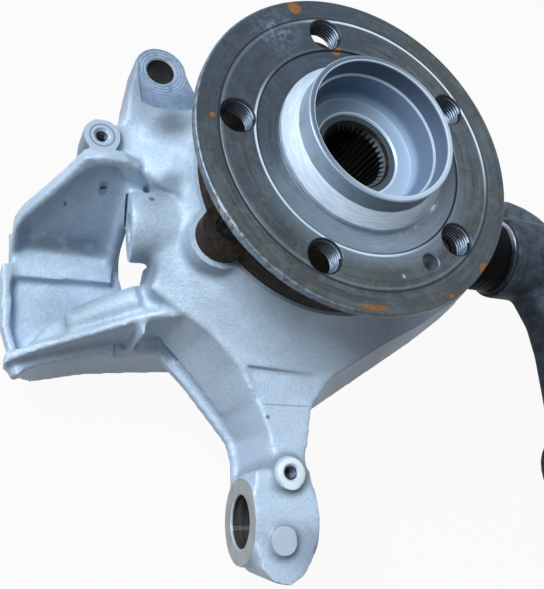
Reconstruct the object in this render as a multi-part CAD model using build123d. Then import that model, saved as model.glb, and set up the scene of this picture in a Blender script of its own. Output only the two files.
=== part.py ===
"""Rear steering knuckle with its wheel bearing, wheel hub and the first link arm, in millimetres.

Frame: the origin is the centre of the wheel-mounting face. +Z is the hub's axis, outboard. X is parallel to
the lower eye's bore. Heights below are Z values, so inboard surfaces have negative ones.
"""

from build123d import *
import math
import os

os.makedirs("parts", exist_ok=True)

# ---------------------------------------------------------------- driving dimensions
FIT = 0.02  # radial room in a seat that doesn't turn
RUNNING_FIT = 0.05  # radial room in a bearing race or a threaded hole
SOFT_GAP = 0.3  # between a rubber piece and what turns against it

# Wheel hub
FLANGE_RADIUS = 73.75
FLANGE_RIM = 4.5  # the thin outer rim of the flange
FLANGE_THICKNESS = 10.5  # where the wheel bolts screw in
FLANGE_THICK_RADIUS = 67.0
WHEEL_BOLT_CIRCLE = 56.0
WHEEL_BOLT_COUNT = 5
WHEEL_BOLT_HOLE = 6.4  # radius, M14 core
FIRST_WHEEL_BOLT = 175.9  # degrees from +X
LOCATOR_HOLE = 3.9
LOCATOR_ANGLE = 300.4
SPIGOT_RADIUS = 33.25
SPIGOT_HEIGHT = 17.8
SPIGOT_BORE = 30.5
SPIGOT_FOOT_RADIUS = 38.4
SPIGOT_FOOT_HEIGHT = 2.2
SPIGOT_CONE_TOP = 8.5
CUP_LEDGE = 8.7  # height of the shallow step inside the spigot
CUP_LEDGE_WIDTH = 0.9
CUP_FLOOR = -4.0
CUP_FLOOR_RADIUS = 26.8
COUNTERSINK_RADIUS = 19.1
RECESS_RADIUS = 48.1  # the face inside this is let in a little
RECESS_DEPTH = 0.8
RIM_STEP_RADIUS = 63.5
RIM_STEP = 0.3  # the rim outside this is turned a little lower

# Spline in the hub
SPLINE_TEETH = 36
SPLINE_ROOT = 15.0
SPLINE_TIP = 13.7
SPLINE_START = -9.0
SPLINE_MOUTH = 16.3

# Wheel bearing
ROLLER_RADIUS = 4.4  # at the middle of its length
ROLLER_LENGTH = 13.0
ROLLER_COUNT = 14
ROLLER_CIRCLE = 33.5  # radius of the rollers' middles round the hub
ROLLER_SIDES = 10  # flats on each hidden roller, to keep its faces few
ROLLER_LEAN = 14.0  # degrees between a roller's axis and the hub's
OUTBOARD_ROW = -27.5
INBOARD_ROW = -49.5
RACE_LOW = 28.2  # neck between the rows
RACE_HIGH = 34.0  # inner race's guide rib, where the seals run
RACE_OVERRUN = 1.3  # of a raceway past half the roller length, at each end
OUTER_COUNTERBORE = 40.2
INNER_RING_SEAT = 24.0
INNER_RING_TOP = -38.5
INNER_RING_END = -64.0
COLLAR_RADIUS = 28.5
HUB_END = -69.0
SEAL_WIDTH = 3.6
SEAL_LIP = 1.6
CAGE_WALL = 1.4
POCKET_ROOM = 0.2
ENCODER_ROOM = 0.5  # between the encoder ring and the outer ring
ENCODER_WIDTH = 1.6

# Outer ring of the bearing
RING_TOP = -14.5
RING_NOSE_RADIUS = 45.0
RING_FLANGE_TOP = -26.0
SEAT_FACE = -36.0  # the casting's face that the ring is bolted to
RING_FLANGE_RADIUS = 61.0
RING_END = -63.5
REGISTER_RADIUS = 42.5
EAR_COUNT = 3
EAR_RADIUS = 11.5
EAR_CIRCLE = 60.5
FIRST_EAR = 212.9

# Bolts of the bearing, M12, from inboard
BOLT_RADIUS = 5.9
BOLT_CLEARANCE_HOLE = 6.5
BOLT_BOSS_FACE = -64.0
BOLT_BOSS_RADIUS = 12.5
BOLT_FLANGE_RADIUS = 11.0
BOLT_FLANGE_HEIGHT = 2.5
BOLT_HEAD_FLATS = 16.0
BOLT_HEAD_HEIGHT = 9.0
BOLT_TIP_BELOW_EAR = 0.6

# Casting: the central body
PAD_RADIUS = 62.8
EAR_PAD_RADIUS = 14.3
DISH_RIM_RADIUS = 99.0
DISH_RIM = -56.0
DISH_MIDDLE_RADIUS = 84.0
DISH_MIDDLE = -52.0
DISH_INNER_RADIUS = 70.0
DISH_INNER = -44.0
BODY_BACK = -84.0
TUBE_RADIUS = 48.5  # wall round the bearing seat, seen from inboard
TUBE_END = -70.0
HOLLOW_TOP = -66.0
SKIN = 7.0
RIB = 6.0
BACK_RIBS = (-15.0, 32.0, 78.0, 122.0, 168.0, 250.0, 305.0)  # degrees from +X

# Casting: lower arm and its eye
ARM_FACE = -55.0
ARM_BACK = -92.0
ARM_FLANGE = 5.0
EYE_Y = -146.0
EYE_Z = -69.0
EYE_RADIUS = 18.0
EYE_BORE = 11.0
EYE_LEFT = -33.0
EYE_RIGHT = -4.5
TOE_TOP = -53.0
NUT_BOSS = (-17.0, -128.0)
NUT_BOSS_RADIUS = 7.3
NUT_BOSS_TOP = -49.5
NUT_BOSS_HOLE = 2.6
PIN_BOSS = (-21.0, -155.0)
PIN_BOSS_RADIUS = 5.8
PIN_BOSS_TOP = -50.5

# Casting: upper ear, small boss and link lug
EAR_HOLE = (-73.0, 56.5)
EAR_HOLE_RADIUS = 6.4
EAR_END_RADIUS = 12.5
EAR_TOP = -51.5
EAR_MILLED = -53.0
EAR_BACK = -72.0
EAR_STEP_Y = 33.7
SMALL_BOSS = (-99.5, 14.8)
SMALL_BOSS_RADIUS = 7.6
SMALL_BOSS_TOP = -50.0
SMALL_BOSS_HOLE = 2.5
LUG_Y = -22.5
LUG_Z = -60.5
LUG_RADIUS = 15.5
LUG_LEFT = -84.5
LUG_BORE = 6.1
LUG_DEPTH = 20.0
LUG_LENGTH = 36.0
LUG_TILT = 8.0  # degrees that the bore rises to the right
LUG_YAW = 3.0  # degrees that it turns towards +Y

# Casting: left box
WALL = 5.0
BOX_LEFT = -131.0
BOX_RIGHT = -84.5
FLOOR = -101.0
LEDGE = -97.0
LEDGE_FRONT = -37.0
WEB_FOOT_Y = -23.0
WEB_TILT = 27.3  # degrees from upright
WEB_RIM_HEIGHT = 3.0
SKIRT_END = -130.0
SHELF_DROP = 4.0
SKIRT_HOLE = (-80.6, -93.0)  # X and Z
SKIRT_HOLE_RADIUS = 3.0
STIFFENER_X = -76.0
STIFFENER_WIDTH = 2.4

# Right joint and link arm
JOINT_Y = -11.3
JOINT_Z = -60.0
JOINT_LUG_RADIUS = 17.0
JOINT_LUG_LEFT = 74.0
JOINT_LUG_FACE = 95.0
BOOT_RADIUS = 19.0
BOOT_RIGHT = 111.6
BUSH_RADIUS = 15.5
END_RING_RADIUS = 20.0
END_RING_WIDTH = 1.4
SLEEVE_RADIUS = 9.5
SLEEVE_BORE = 6.3
SLEEVE_RIGHT = 155.0
JOINT_BOLT_RADIUS = 5.9
JOINT_BOLT_REACH = 20.0
WASHER_RADIUS = 13.0
WASHER_THICKNESS = 2.5
JOINT_HEAD_FLATS = 18.0
JOINT_HEAD_HEIGHT = 8.0
LINK_EYE_LEFT = BOOT_RIGHT + END_RING_WIDTH
LINK_EYE_RADIUS = 22.0
LINK_EYE_WIDTH = 38.0
LINK_END_Y = -122.0
LINK_END_LEFT = 137.5
LINK_END_WIDTH = 24.0
LINK_END_RADIUS = 16.0
LINK_END_BORE = 12.5
LINK_HALF_DEPTH = 10.0
LINK_CHAMFER = 3.6
FAR_SLEEVE_RADIUS = 8.0
FAR_SLEEVE_BORE = 5.2


# ---------------------------------------------------------------- small helpers
def ring_points(radius, count, first):
    """Points evenly spaced on a circle, from an angle in degrees."""
    angles = [math.radians(first + 360 / count * k) for k in range(count)]
    return [(radius * math.cos(a), radius * math.sin(a)) for a in angles]


def turned(points):
    """A body turned about Z from a closed outline of (radius, height)."""
    outline = Polyline([(r, 0, z) for r, z in points], close=True)
    return revolve(make_face(outline), Axis.Z)


def post(x, y, radius, top, bottom):
    """An upright round bar."""
    return Pos(x, y, (top + bottom) / 2) * Cylinder(radius, top - bottom)


def bar_x(radius, left, right, y, z):
    """A round bar along X."""
    return Pos((left + right) / 2, y, z) * Rot(0, 90, 0) * Cylinder(radius, right - left)


def slab(points, top, bottom, corner=0.0):
    """A plan outline as a slab between two heights, with its upright edges rounded."""
    face = make_face(Polyline([*points], close=True))
    if corner:
        face = fillet(face.vertices(), corner)
    return Pos(0, 0, bottom) * extrude(face, top - bottom)


def between(upper, top, lower, bottom):
    """A ruled body from one plan outline down to another with as many corners."""
    first = Pos(0, 0, top) * make_face(Polyline([*upper], close=True))
    last = Pos(0, 0, bottom) * make_face(Polyline([*lower], close=True))
    return loft([first, last], ruled=True)


def side_slab(points, front, back):
    """An outline of (X, Z) as a slab from Y front to Y back."""
    face = make_face(Polyline([(x, 0, z) for x, z in points], close=True))
    return Pos(0, front, 0) * extrude(face, back - front, dir=(0, 1, 0))


def turned_x(points, y, z):
    """A body turned about a line along X from a closed outline of (X, radius)."""
    outline = Polyline([(x, 0, r) for x, r in points], close=True)
    return Pos(0, y, z) * revolve(make_face(outline), Axis.X)


def keep(shape, name):
    """Writes one node's STEP file."""
    shape.label = name
    export_step(shape, f"parts/{name}.step")


# ---------------------------------------------------------------- wheel hub
def spline_cut():
    """The room of the splined bore: a round core with a straight-sided groove for each tooth space."""
    pitch = 360 / SPLINE_TEETH
    outline = []
    for k in range(SPLINE_TEETH):
        for share, radius in (
            (-0.3, SPLINE_TIP), (-0.14, SPLINE_ROOT), (0.14, SPLINE_ROOT), (0.3, SPLINE_TIP),
        ):
            angle = math.radians((k + share) * pitch)
            outline.append((radius * math.cos(angle), radius * math.sin(angle)))
    return slab(outline, SPLINE_START, HUB_END - 1)


def wheel_hub():
    """Flange, spigot, outboard race, journal and rolled collar, all one forging."""
    race = inner_race(OUTBOARD_ROW, 1)
    body = turned(
        [
            (SPLINE_TIP, SPLINE_START),
            (SPLINE_MOUTH, CUP_FLOOR - 1.0),
            (COUNTERSINK_RADIUS, CUP_FLOOR - 1.0),
            (COUNTERSINK_RADIUS, CUP_FLOOR),
            (CUP_FLOOR_RADIUS, CUP_FLOOR),
            (SPIGOT_BORE - CUP_LEDGE_WIDTH, CUP_LEDGE),
            (SPIGOT_BORE, CUP_LEDGE),
            (SPIGOT_BORE, SPIGOT_HEIGHT),
            (SPIGOT_RADIUS, SPIGOT_HEIGHT),
            (SPIGOT_RADIUS, SPIGOT_CONE_TOP),
            (SPIGOT_FOOT_RADIUS, SPIGOT_FOOT_HEIGHT),
            (SPIGOT_FOOT_RADIUS, -RECESS_DEPTH),
            (RECESS_RADIUS, -RECESS_DEPTH),
            (RECESS_RADIUS, 0),
            (RIM_STEP_RADIUS, 0),
            (RIM_STEP_RADIUS, -RIM_STEP),
            (FLANGE_RADIUS, -RIM_STEP),
            (FLANGE_RADIUS, -FLANGE_RIM),
            (FLANGE_THICK_RADIUS, -FLANGE_THICKNESS),
            (RACE_HIGH, -FLANGE_THICKNESS),
            *reversed(race),
            (RACE_LOW, race[0][1]),
            (RACE_LOW, INNER_RING_TOP),
            (INNER_RING_SEAT, INNER_RING_TOP),
            (INNER_RING_SEAT, INNER_RING_END),
            (COLLAR_RADIUS, INNER_RING_END),
            (COLLAR_RADIUS - 2.5, HUB_END),
            (SPLINE_TIP, HUB_END),
        ]
    )
    body -= spline_cut()
    for x, y in ring_points(WHEEL_BOLT_CIRCLE, WHEEL_BOLT_COUNT, FIRST_WHEEL_BOLT):
        body -= post(x, y, WHEEL_BOLT_HOLE, 1, -FLANGE_THICKNESS - 1)
    x, y = ring_points(WHEEL_BOLT_CIRCLE, 1, LOCATOR_ANGLE)[0]
    body -= post(x, y, LOCATOR_HOLE, 1, -FLANGE_THICKNESS - 1)
    return body


# ---------------------------------------------------------------- wheel bearing
def apex_distance():
    """From the middle of a row to the point on the hub's axis where its cones meet."""
    return ROLLER_CIRCLE / math.tan(math.radians(ROLLER_LEAN))


def roller_slope():
    """Half the angle of a roller's cone, in degrees, so that it rolls without slipping."""
    return math.degrees(math.asin(ROLLER_RADIUS / math.hypot(ROLLER_CIRCLE, apex_distance())))


def race_radius(row, side, height, inner, room=0.0):
    """Radius of a raceway at a height; side is 1 where the row's big end faces outboard, else -1."""
    along = apex_distance() + side * (height - row)
    lean = math.radians(ROLLER_LEAN + (-1 if inner else 1) * roller_slope())
    return along * math.tan(lean) + (-room if inner else room) / math.cos(lean)


def leant(shape, row, side, angle):
    """Puts a shape made about Z at a roller's place: Z becomes the roller's axis, big end up the cone."""
    placed = Rot(0, 0, angle) * Pos(ROLLER_CIRCLE, 0, 0) * Rot(0, ROLLER_LEAN, 0) * shape
    if side < 0:
        placed = mirror(placed, Plane.XY)
    return Pos(0, 0, row) * placed


def tapered_bar(middle, slope, length, sides):
    """A flat-sided bar about Z, wider upwards by a slope in degrees; middle is its mean half-width."""
    foot = middle - length / 2 * math.tan(math.radians(slope))
    polygon = RegularPolygon(foot, sides, major_radius=False)
    return Pos(0, 0, -length / 2) * extrude(polygon, length, taper=-slope)


def roller_row(row, side):
    """One row of tapered rollers as separate solids."""
    within = ROLLER_RADIUS * math.cos(math.pi / ROLLER_SIDES)
    roller = tapered_bar(within, roller_slope(), ROLLER_LENGTH, ROLLER_SIDES)
    step = 360 / ROLLER_COUNT
    return Compound(children=[leant(roller, row, side, k * step) for k in range(ROLLER_COUNT)])


def cage(row, side):
    """A pressed cage between the races: a coned ring of flats, with a window for each roller."""
    length = ROLLER_LENGTH + 4.0
    step = 360 / ROLLER_COUNT
    outer = tapered_bar(ROLLER_CIRCLE + CAGE_WALL / 2, ROLLER_LEAN, length, ROLLER_COUNT)
    inner = tapered_bar(ROLLER_CIRCLE - CAGE_WALL / 2, ROLLER_LEAN, length, ROLLER_COUNT)
    body = outer - inner
    if side < 0:
        body = mirror(body, Plane.XY)
    body = Pos(0, 0, row) * body
    width = 2 * (ROLLER_RADIUS + POCKET_ROOM)
    window = Box(4 * CAGE_WALL, width, ROLLER_LENGTH + 2 * POCKET_ROOM)
    for k in range(ROLLER_COUNT):
        body -= leant(window, row, side, k * step)
    return body


def race_ends(row, side):
    """Heights of the two ends of a raceway, small end first."""
    half = ROLLER_LENGTH / 2 + RACE_OVERRUN
    return row - side * half, row + side * half


def inner_race(row, side):
    """Outline of an inner raceway with its guide rib, small end first."""
    small, large = race_ends(row, side)
    return [
        (race_radius(row, side, small, True, RUNNING_FIT), small),
        (race_radius(row, side, large, True, RUNNING_FIT), large),
        (RACE_HIGH, large),
    ]


def outer_race(row, side):
    """Outline of an outer raceway, small end first."""
    return [(race_radius(row, side, end, False, RUNNING_FIT), end) for end in race_ends(row, side)]


def bearing_outer_ring():
    """Nose, bolted flange with its ears, and the register that sits in the casting."""
    outboard = outer_race(OUTBOARD_ROW, 1)
    inboard = outer_race(INBOARD_ROW, -1)
    body = turned(
        [
            (OUTER_COUNTERBORE, RING_TOP),
            (RING_NOSE_RADIUS, RING_TOP),
            (RING_NOSE_RADIUS, RING_FLANGE_TOP + 3),
            (RING_NOSE_RADIUS + 3, RING_FLANGE_TOP),
            (RING_FLANGE_RADIUS, RING_FLANGE_TOP),
            (RING_FLANGE_RADIUS, SEAT_FACE),
            (REGISTER_RADIUS, SEAT_FACE),
            (REGISTER_RADIUS, RING_END),
            (OUTER_COUNTERBORE, RING_END),
            (OUTER_COUNTERBORE, inboard[1][1]),
            inboard[1],
            inboard[0],
            outboard[0],
            outboard[1],
            (OUTER_COUNTERBORE, outboard[1][1]),
        ]
    )
    for x, y in ring_points(EAR_CIRCLE, EAR_COUNT, FIRST_EAR):
        body += post(x, y, EAR_RADIUS, RING_FLANGE_TOP, SEAT_FACE)
    for x, y in ring_points(EAR_CIRCLE, EAR_COUNT, FIRST_EAR):
        body -= post(x, y, BOLT_RADIUS + RUNNING_FIT, RING_FLANGE_TOP + 1, SEAT_FACE - 1)
    return body


def bearing_inner_ring():
    """The loose inboard race, held between the hub's shoulder and its rolled collar."""
    bore = INNER_RING_SEAT + FIT
    race = inner_race(INBOARD_ROW, -1)
    small = race[0]
    ends = [(RACE_HIGH, INNER_RING_END), (bore, INNER_RING_END)]
    return turned([(bore, INNER_RING_TOP), (small[0], INNER_RING_TOP), *race, *ends])


def seal(outer_end, side):
    """A ring with a dished face, pressed in the outer ring and running on the inner race's rib."""
    inner, outer = RACE_HIGH + RUNNING_FIT, OUTER_COUNTERBORE - FIT
    inner_end = outer_end - side * SEAL_WIDTH
    lip = inner_end + side * SEAL_LIP
    return turned([(inner, inner_end), (outer, inner_end), (outer, outer_end), (inner, lip)])


def encoder_ring():
    """The magnetised ring for the speed sensor, pressed on the inner race beside the seal."""
    inner, outer = RACE_HIGH + FIT, OUTER_COUNTERBORE - ENCODER_ROOM
    top = INNER_RING_END + ENCODER_WIDTH
    return turned([(inner, top), (outer, top), (outer, INNER_RING_END), (inner, INNER_RING_END)])


def bearing_bolts():
    """Flanged hexagon bolts from inboard, their ends just below the ears' faces."""
    bolts = []
    for x, y in ring_points(EAR_CIRCLE, EAR_COUNT, FIRST_EAR):
        shank = post(x, y, BOLT_RADIUS, RING_FLANGE_TOP - BOLT_TIP_BELOW_EAR, BOLT_BOSS_FACE)
        flange_end = BOLT_BOSS_FACE - BOLT_FLANGE_HEIGHT
        flange = post(x, y, BOLT_FLANGE_RADIUS, BOLT_BOSS_FACE, flange_end)
        hexagon = RegularPolygon(BOLT_HEAD_FLATS / 2, 6, major_radius=False)
        head = Pos(x, y, flange_end - BOLT_HEAD_HEIGHT) * extrude(hexagon, BOLT_HEAD_HEIGHT)
        bolts.append(shank + flange + head)
    return Compound(children=[solid for bolt in bolts for solid in bolt.solids()])


# ---------------------------------------------------------------- casting
def body_outline_front():
    """Plan of the central body at the arm's face height, anticlockwise from the front rib."""
    return [
        (-62, -62), (-50, -70.3), (-37, -83.7), (-29, -97), (-3, -99), (7, -86), (33, -70), (57, -57),
        (80, -42),
        (92, -32), (97, -8), (90, 14), (66, 34), (40, 56), (8, 66), (-24, 64), (-50, 50), (-60, 44),
        (-86, 34),
        (-92, 24), (-91, 14), (-84, 5), (-78, -2), (-74, -8), (-66, -12), (-68, -33), (-74, -38),
        (-74.5, -45),
        (-76, -52), (-68, -58),
    ]


def body_outline_back():
    """The same outline at the back; the right flank leans out."""
    return [
        (-62, -67), (-56, -73), (-43, -89), (-35, -98.5), (3, -99), (22, -87), (44, -73), (69, -57),
        (90, -42),
        (102, -32), (104, -8), (96, 16), (70, 38), (42, 60), (8, 70), (-26, 68), (-50, 54), (-60, 46),
        (-84, 36),
        (-90, 25), (-89, 15), (-82, 6), (-76, -2), (-72, -8), (-64, -12), (-66, -29), (-73, -32),
        (-74, -39),
        (-74.5, -50), (-67, -61),
    ]


def shrunk(points, distance):
    """An outline moved inwards, for a wall of even thickness."""
    face = make_face(Polyline([*points], close=True))
    return offset(face, -distance, kind=Kind.INTERSECTION)


def central_body():
    """The dish round the bearing seat, carried out to the arms."""
    column = slab(body_outline_front(), SEAT_FACE + 1, ARM_FACE)
    column += between(body_outline_front(), ARM_FACE, body_outline_back(), BODY_BACK)
    beyond = 2 * DISH_RIM_RADIUS
    dish = turned(
        [
            (0, SEAT_FACE),
            (PAD_RADIUS, SEAT_FACE),
            (PAD_RADIUS + 1, SEAT_FACE - 2),
            (DISH_INNER_RADIUS, DISH_INNER),
            (DISH_MIDDLE_RADIUS, DISH_MIDDLE),
            (DISH_RIM_RADIUS, DISH_RIM),
            (beyond, DISH_RIM),
            (beyond, BODY_BACK),
            (0, BODY_BACK),
        ]
    )
    return column & dish


def back_hollow():
    """The room behind the dish: it leaves an outer wall, the bearing tube and the ribs between them."""
    wall_line = shrunk(body_outline_front(), SKIN)
    room = Pos(0, 0, BODY_BACK - 1) * extrude(wall_line, HOLLOW_TOP - BODY_BACK + 1)
    room -= post(0, 0, TUBE_RADIUS, HOLLOW_TOP + 1, BODY_BACK - 2)
    for angle in BACK_RIBS:
        rib = Pos(DISH_RIM_RADIUS / 2, 0, BODY_BACK) * Box(DISH_RIM_RADIUS, RIB, 4 * SKIN + RIB)
        room -= Rot(0, 0, angle) * rib
    return room


def lower_arm():
    """The arm down to the eye: a deep web with a flange along its left foot, hollow behind."""
    top = [
        (-50, -70.3), (-37, -83.7), (-29, -97), (-24, -111), (-22, -136), (-4, -136), (-7, -122),
        (-3, -99),
        (7, -86), (-20, -66),
    ]
    foot = [
        (-56, -73), (-42.6, -89.4), (-35, -98.9), (-26.4, -109.5), (-23.5, -136), (-5, -136),
        (-8, -122), (-3, -99),
        (7, -86), (-20, -66),
    ]
    flange = [
        (-62, -72), (-52, -82), (-39.5, -97.5), (-30, -109.5), (-27.5, -118), (-28, -132),
        (-20, -132), (-20, -108),
        (-46, -64), (-62, -62),
    ]
    inside = [
        (-36, -76), (-32, -80.5), (-24, -94), (-18.3, -109.5), (-16.3, -130), (-10.6, -130),
        (-12.8, -122),
        (-9, -97), (-1.5, -87), (-20, -73.5),
    ]
    web = between(top, ARM_FACE, foot, ARM_BACK)
    room = slab(inside, ARM_FACE - SKIN, ARM_BACK - 1)
    return web + slab(flange, ARM_BACK + 2, ARM_BACK - ARM_FLANGE + 2) - room


def lower_eye():
    """The toe of the arm with the cross bore, the threaded boss and the locating pin boss."""
    top = [
        (-32, -126), (-32, -158), (-30, -165.5), (-25, -170.5), (-18, -172), (-11.5, -168.5),
        (-7, -161.5),
        (-4.8, -153), (-4.2, -143), (-6, -126),
    ]
    foot = [
        (-28, -126), (-29, -153), (-27, -160), (-22, -165.5), (-16.5, -167), (-11, -163.5),
        (-7.5, -158.5),
        (-5.6, -151), (-5.2, -142), (-8, -126),
    ]
    toe = between(top, TOE_TOP, foot, ARM_BACK + 2)
    toe += bar_x(EYE_RADIUS, EYE_LEFT, EYE_RIGHT, EYE_Y, EYE_Z)
    toe += post(*NUT_BOSS, NUT_BOSS_RADIUS, NUT_BOSS_TOP, ARM_FACE - 10)
    toe += post(*PIN_BOSS, PIN_BOSS_RADIUS, PIN_BOSS_TOP, TOE_TOP - 5)
    return toe


def upper_ear():
    """The ear with the upright bore, its face milled down from the cast skin."""
    x, y = EAR_HOLE
    root = [(-90, 26), (-88, 42), (x - EAR_END_RADIUS, y), (x + EAR_END_RADIUS, y), (-50, 36), (-52, 20)]
    ear = slab(root, EAR_TOP, EAR_BACK) + post(x, y, EAR_END_RADIUS, EAR_TOP, EAR_BACK)
    face = [
        (-86, 90), (-84.6, 61), (-83.8, 48), (-82.3, EAR_STEP_Y + 3.2), (-76, EAR_STEP_Y + 1.3),
        (-64, EAR_STEP_Y), (-40, EAR_STEP_Y), (-40, 90),
    ]
    milled = slab(face, EAR_TOP + 20, EAR_MILLED)
    return ear, milled


def small_boss():
    """The threaded boss at the head of the left box, with the neck that ties it to the body."""
    x, y = SMALL_BOSS
    neck = [(x - 5, y - 4), (x + 6, y - 9), (x + 22, y - 9), (x + 18, y + 12), (x + 2, y + SMALL_BOSS_RADIUS)]
    boss = post(x, y, SMALL_BOSS_RADIUS, SMALL_BOSS_TOP, EAR_BACK)
    return boss + slab(neck, SMALL_BOSS_TOP - 3, EAR_BACK)


def link_lug(radius, start, length):
    """A round bar on the axis of the lug beside the slot, measured from its machined end."""
    bar = Pos(0, 0, start + length / 2) * Cylinder(radius, length)
    return Pos(LUG_LEFT, LUG_Y, LUG_Z) * Rot(0, 0, LUG_YAW) * Rot(0, 90 - LUG_TILT, 0) * bar


def joint_lug():
    """The lug at the end of the right arm that the link's bolt screws into."""
    return bar_x(JOINT_LUG_RADIUS, JOINT_LUG_LEFT, JOINT_LUG_FACE, JOINT_Y, JOINT_Z)


def left_box():
    """The open box on the left: a leaning web with a raised rim, a floor with a ledge, ribs and walls."""
    lean = math.radians(WEB_TILT)
    web_plane = Plane(
        origin=(0, WEB_FOOT_Y, LEDGE), x_dir=(1, 0, 0), z_dir=(0, -math.cos(lean), math.sin(lean))
    )
    rim = [
        (-130, -10), (-130.5, 15), (-128, 22), (-120, 34), (-113, 45), (-107, 56), (-99, 58),
        (-90, 58), (-83, 55),
        (-79, 46), (-81, 20), (-82, -10),
    ]
    recess = [
        (-127.5, -1), (-128, 13), (-124.5, 20), (-116, 32), (-109, 43), (-103, 51), (-93, 53), (-87, 47),
        (-86.5, -1),
    ]
    rim_face = make_face(Polyline([*rim], close=True))
    recess_face = fillet(make_face(Polyline([*recess], close=True)).vertices(), 2.5)
    web = web_plane.offset(-WALL) * extrude(rim_face, WALL + WEB_RIM_HEIGHT)
    web -= web_plane * extrude(recess_face, 3 * WALL)

    floor = slab(
        [(-131, -14), (-78.5, -14), (-79.5, -21), (-79.3, -30), (-77.5, -36.5), (-80, -42),
         (-90, -50), (-90, -66),
         (-126, -76)],
        FLOOR, FLOOR - WALL,
    )
    floor += slab([(-129, -14), (-83, -14), (-84, -35), (-129, LEDGE_FRONT)], LEDGE, FLOOR - 1)
    end_rib = slab(
        [(-133.5, -31), (-129, -31), (-127, -62), (-120.5, -80), (-123.5, -83),
         (-131.5, -60)], LEDGE + 1, LEDGE - 9
    )
    slope = [(-50, -55), (-65, -55.5), (-75, -60), (-93, -70), (-108, -80), (-118, -86), (-134, -96)]
    below = [(-134, -101), (-123, -108), (-115, SKIRT_END), (-46, SKIRT_END)]
    front_wall = slab(
        [(-50, -62.5), (-75, -63.5), (-93, -68.5), (-118, -74), (-129, -78), (-129, -73), (-118, -70),
         (-93, -64.5), (-75, -59.5), (-50, -58)],
        ARM_FACE + 1, SKIRT_END,
    )
    front_wall &= side_slab(slope + below, -100, -40)
    skirt = slab(
        [(-45, -68), (-71, -70), (-91, -72), (-105, -75), (-115, -77), (-125, -82), (-129, -76),
         (-93, -66),
         (-45, -62)],
        ARM_BACK + 1, SKIRT_END,
    )
    skirt &= side_slab([(-134, -100), (-45, -80)] + list(reversed(below)), -100, -40)
    shelf = slab(
        [(-66, -44), (-74, -45.5), (-86, -48), (-96, -51), (-104, -54.5), (-113, -61), (-120, -70),
         (-93, -66),
         (-66, -60)],
        ARM_FACE, FLOOR - 2,
    )
    shelf_top = [(x, z - SHELF_DROP) for x, z in slope]
    shelf &= side_slab(shelf_top + [(-134, -110), (-50, -110)], -100, -40)
    x, z = SKIRT_HOLE
    skirt -= Pos(x, -70, z) * Rot(90, 0, 0) * Cylinder(SKIRT_HOLE_RADIUS, 12)
    left, right = STIFFENER_X - STIFFENER_WIDTH / 2, STIFFENER_X + STIFFENER_WIDTH / 2
    stiffener = slab([(left, -60), (left, -70), (right, -70), (right, -60)], ARM_FACE - 8, ARM_BACK)
    return web + floor + end_rib + front_wall + skirt + shelf + stiffener


def casting():
    """The whole knuckle, one casting."""
    body = central_body() - back_hollow()
    for x, y in ring_points(EAR_CIRCLE, EAR_COUNT, FIRST_EAR):
        body += post(x, y, EAR_PAD_RADIUS, SEAT_FACE, BOLT_BOSS_FACE)
    body += lower_arm() + lower_eye()
    ear, milled = upper_ear()
    body += ear
    body += left_box() + small_boss() + link_lug(LUG_RADIUS, 0, LUG_LENGTH) + joint_lug()
    body -= milled
    body -= post(0, 0, REGISTER_RADIUS + FIT, SEAT_FACE + 1, BODY_BACK - 1)
    for x, y in ring_points(EAR_CIRCLE, EAR_COUNT, FIRST_EAR):
        body -= post(x, y, BOLT_CLEARANCE_HOLE, SEAT_FACE + 1, BODY_BACK - 1)
        body -= post(x, y, BOLT_FLANGE_RADIUS + 1.5, BOLT_BOSS_FACE, BODY_BACK - 1)
    body -= bar_x(EYE_BORE, EYE_LEFT - 1, EYE_RIGHT + 1, EYE_Y, EYE_Z)
    body -= link_lug(LUG_BORE, -1, LUG_DEPTH + 1)
    body -= bar_x(LINK_EYE_RADIUS + 4, JOINT_LUG_FACE, JOINT_LUG_FACE + 20, JOINT_Y, JOINT_Z)
    bolt_hole = JOINT_BOLT_RADIUS + RUNNING_FIT
    body -= bar_x(bolt_hole, JOINT_LUG_FACE - JOINT_BOLT_REACH - 2, JOINT_LUG_FACE + 1, JOINT_Y, JOINT_Z)
    body -= post(*EAR_HOLE, EAR_HOLE_RADIUS, EAR_TOP + 1, EAR_BACK - 1)
    body -= post(*SMALL_BOSS, SMALL_BOSS_HOLE, SMALL_BOSS_TOP + 1, SMALL_BOSS_TOP - 16)
    body -= post(*NUT_BOSS, NUT_BOSS_HOLE, NUT_BOSS_TOP + 1, ARM_FACE - 4)
    return body


# ---------------------------------------------------------------- right joint and link arm
def joint_sleeve():
    """The steel tube that the bolt clamps against the casting's lug."""
    outline = [(JOINT_LUG_FACE, SLEEVE_BORE), (SLEEVE_RIGHT, SLEEVE_BORE), (SLEEVE_RIGHT, SLEEVE_RADIUS),
               (JOINT_LUG_FACE, SLEEVE_RADIUS)]
    return turned_x(outline, JOINT_Y, JOINT_Z)


def joint_rubber():
    """The bush in the link's eye, which swells to a boot between the eye and the lug."""
    left, inner = JOINT_LUG_FACE + SOFT_GAP, SLEEVE_RADIUS + SOFT_GAP
    right = LINK_EYE_LEFT + LINK_EYE_WIDTH
    outline = [
        (left, inner), (right, inner), (right, BUSH_RADIUS), (BOOT_RIGHT, BUSH_RADIUS),
        (BOOT_RIGHT, BOOT_RADIUS),
        (left, BOOT_RADIUS),
    ]
    return turned_x(outline, JOINT_Y, JOINT_Z)


def joint_end_ring():
    """The bright ring between the boot and the link's eye."""
    inner, right = BUSH_RADIUS + FIT, BOOT_RIGHT + END_RING_WIDTH
    outline = [(BOOT_RIGHT, inner), (right, inner), (right, END_RING_RADIUS), (BOOT_RIGHT, END_RING_RADIUS)]
    return turned_x(outline, JOINT_Y, JOINT_Z)


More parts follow.
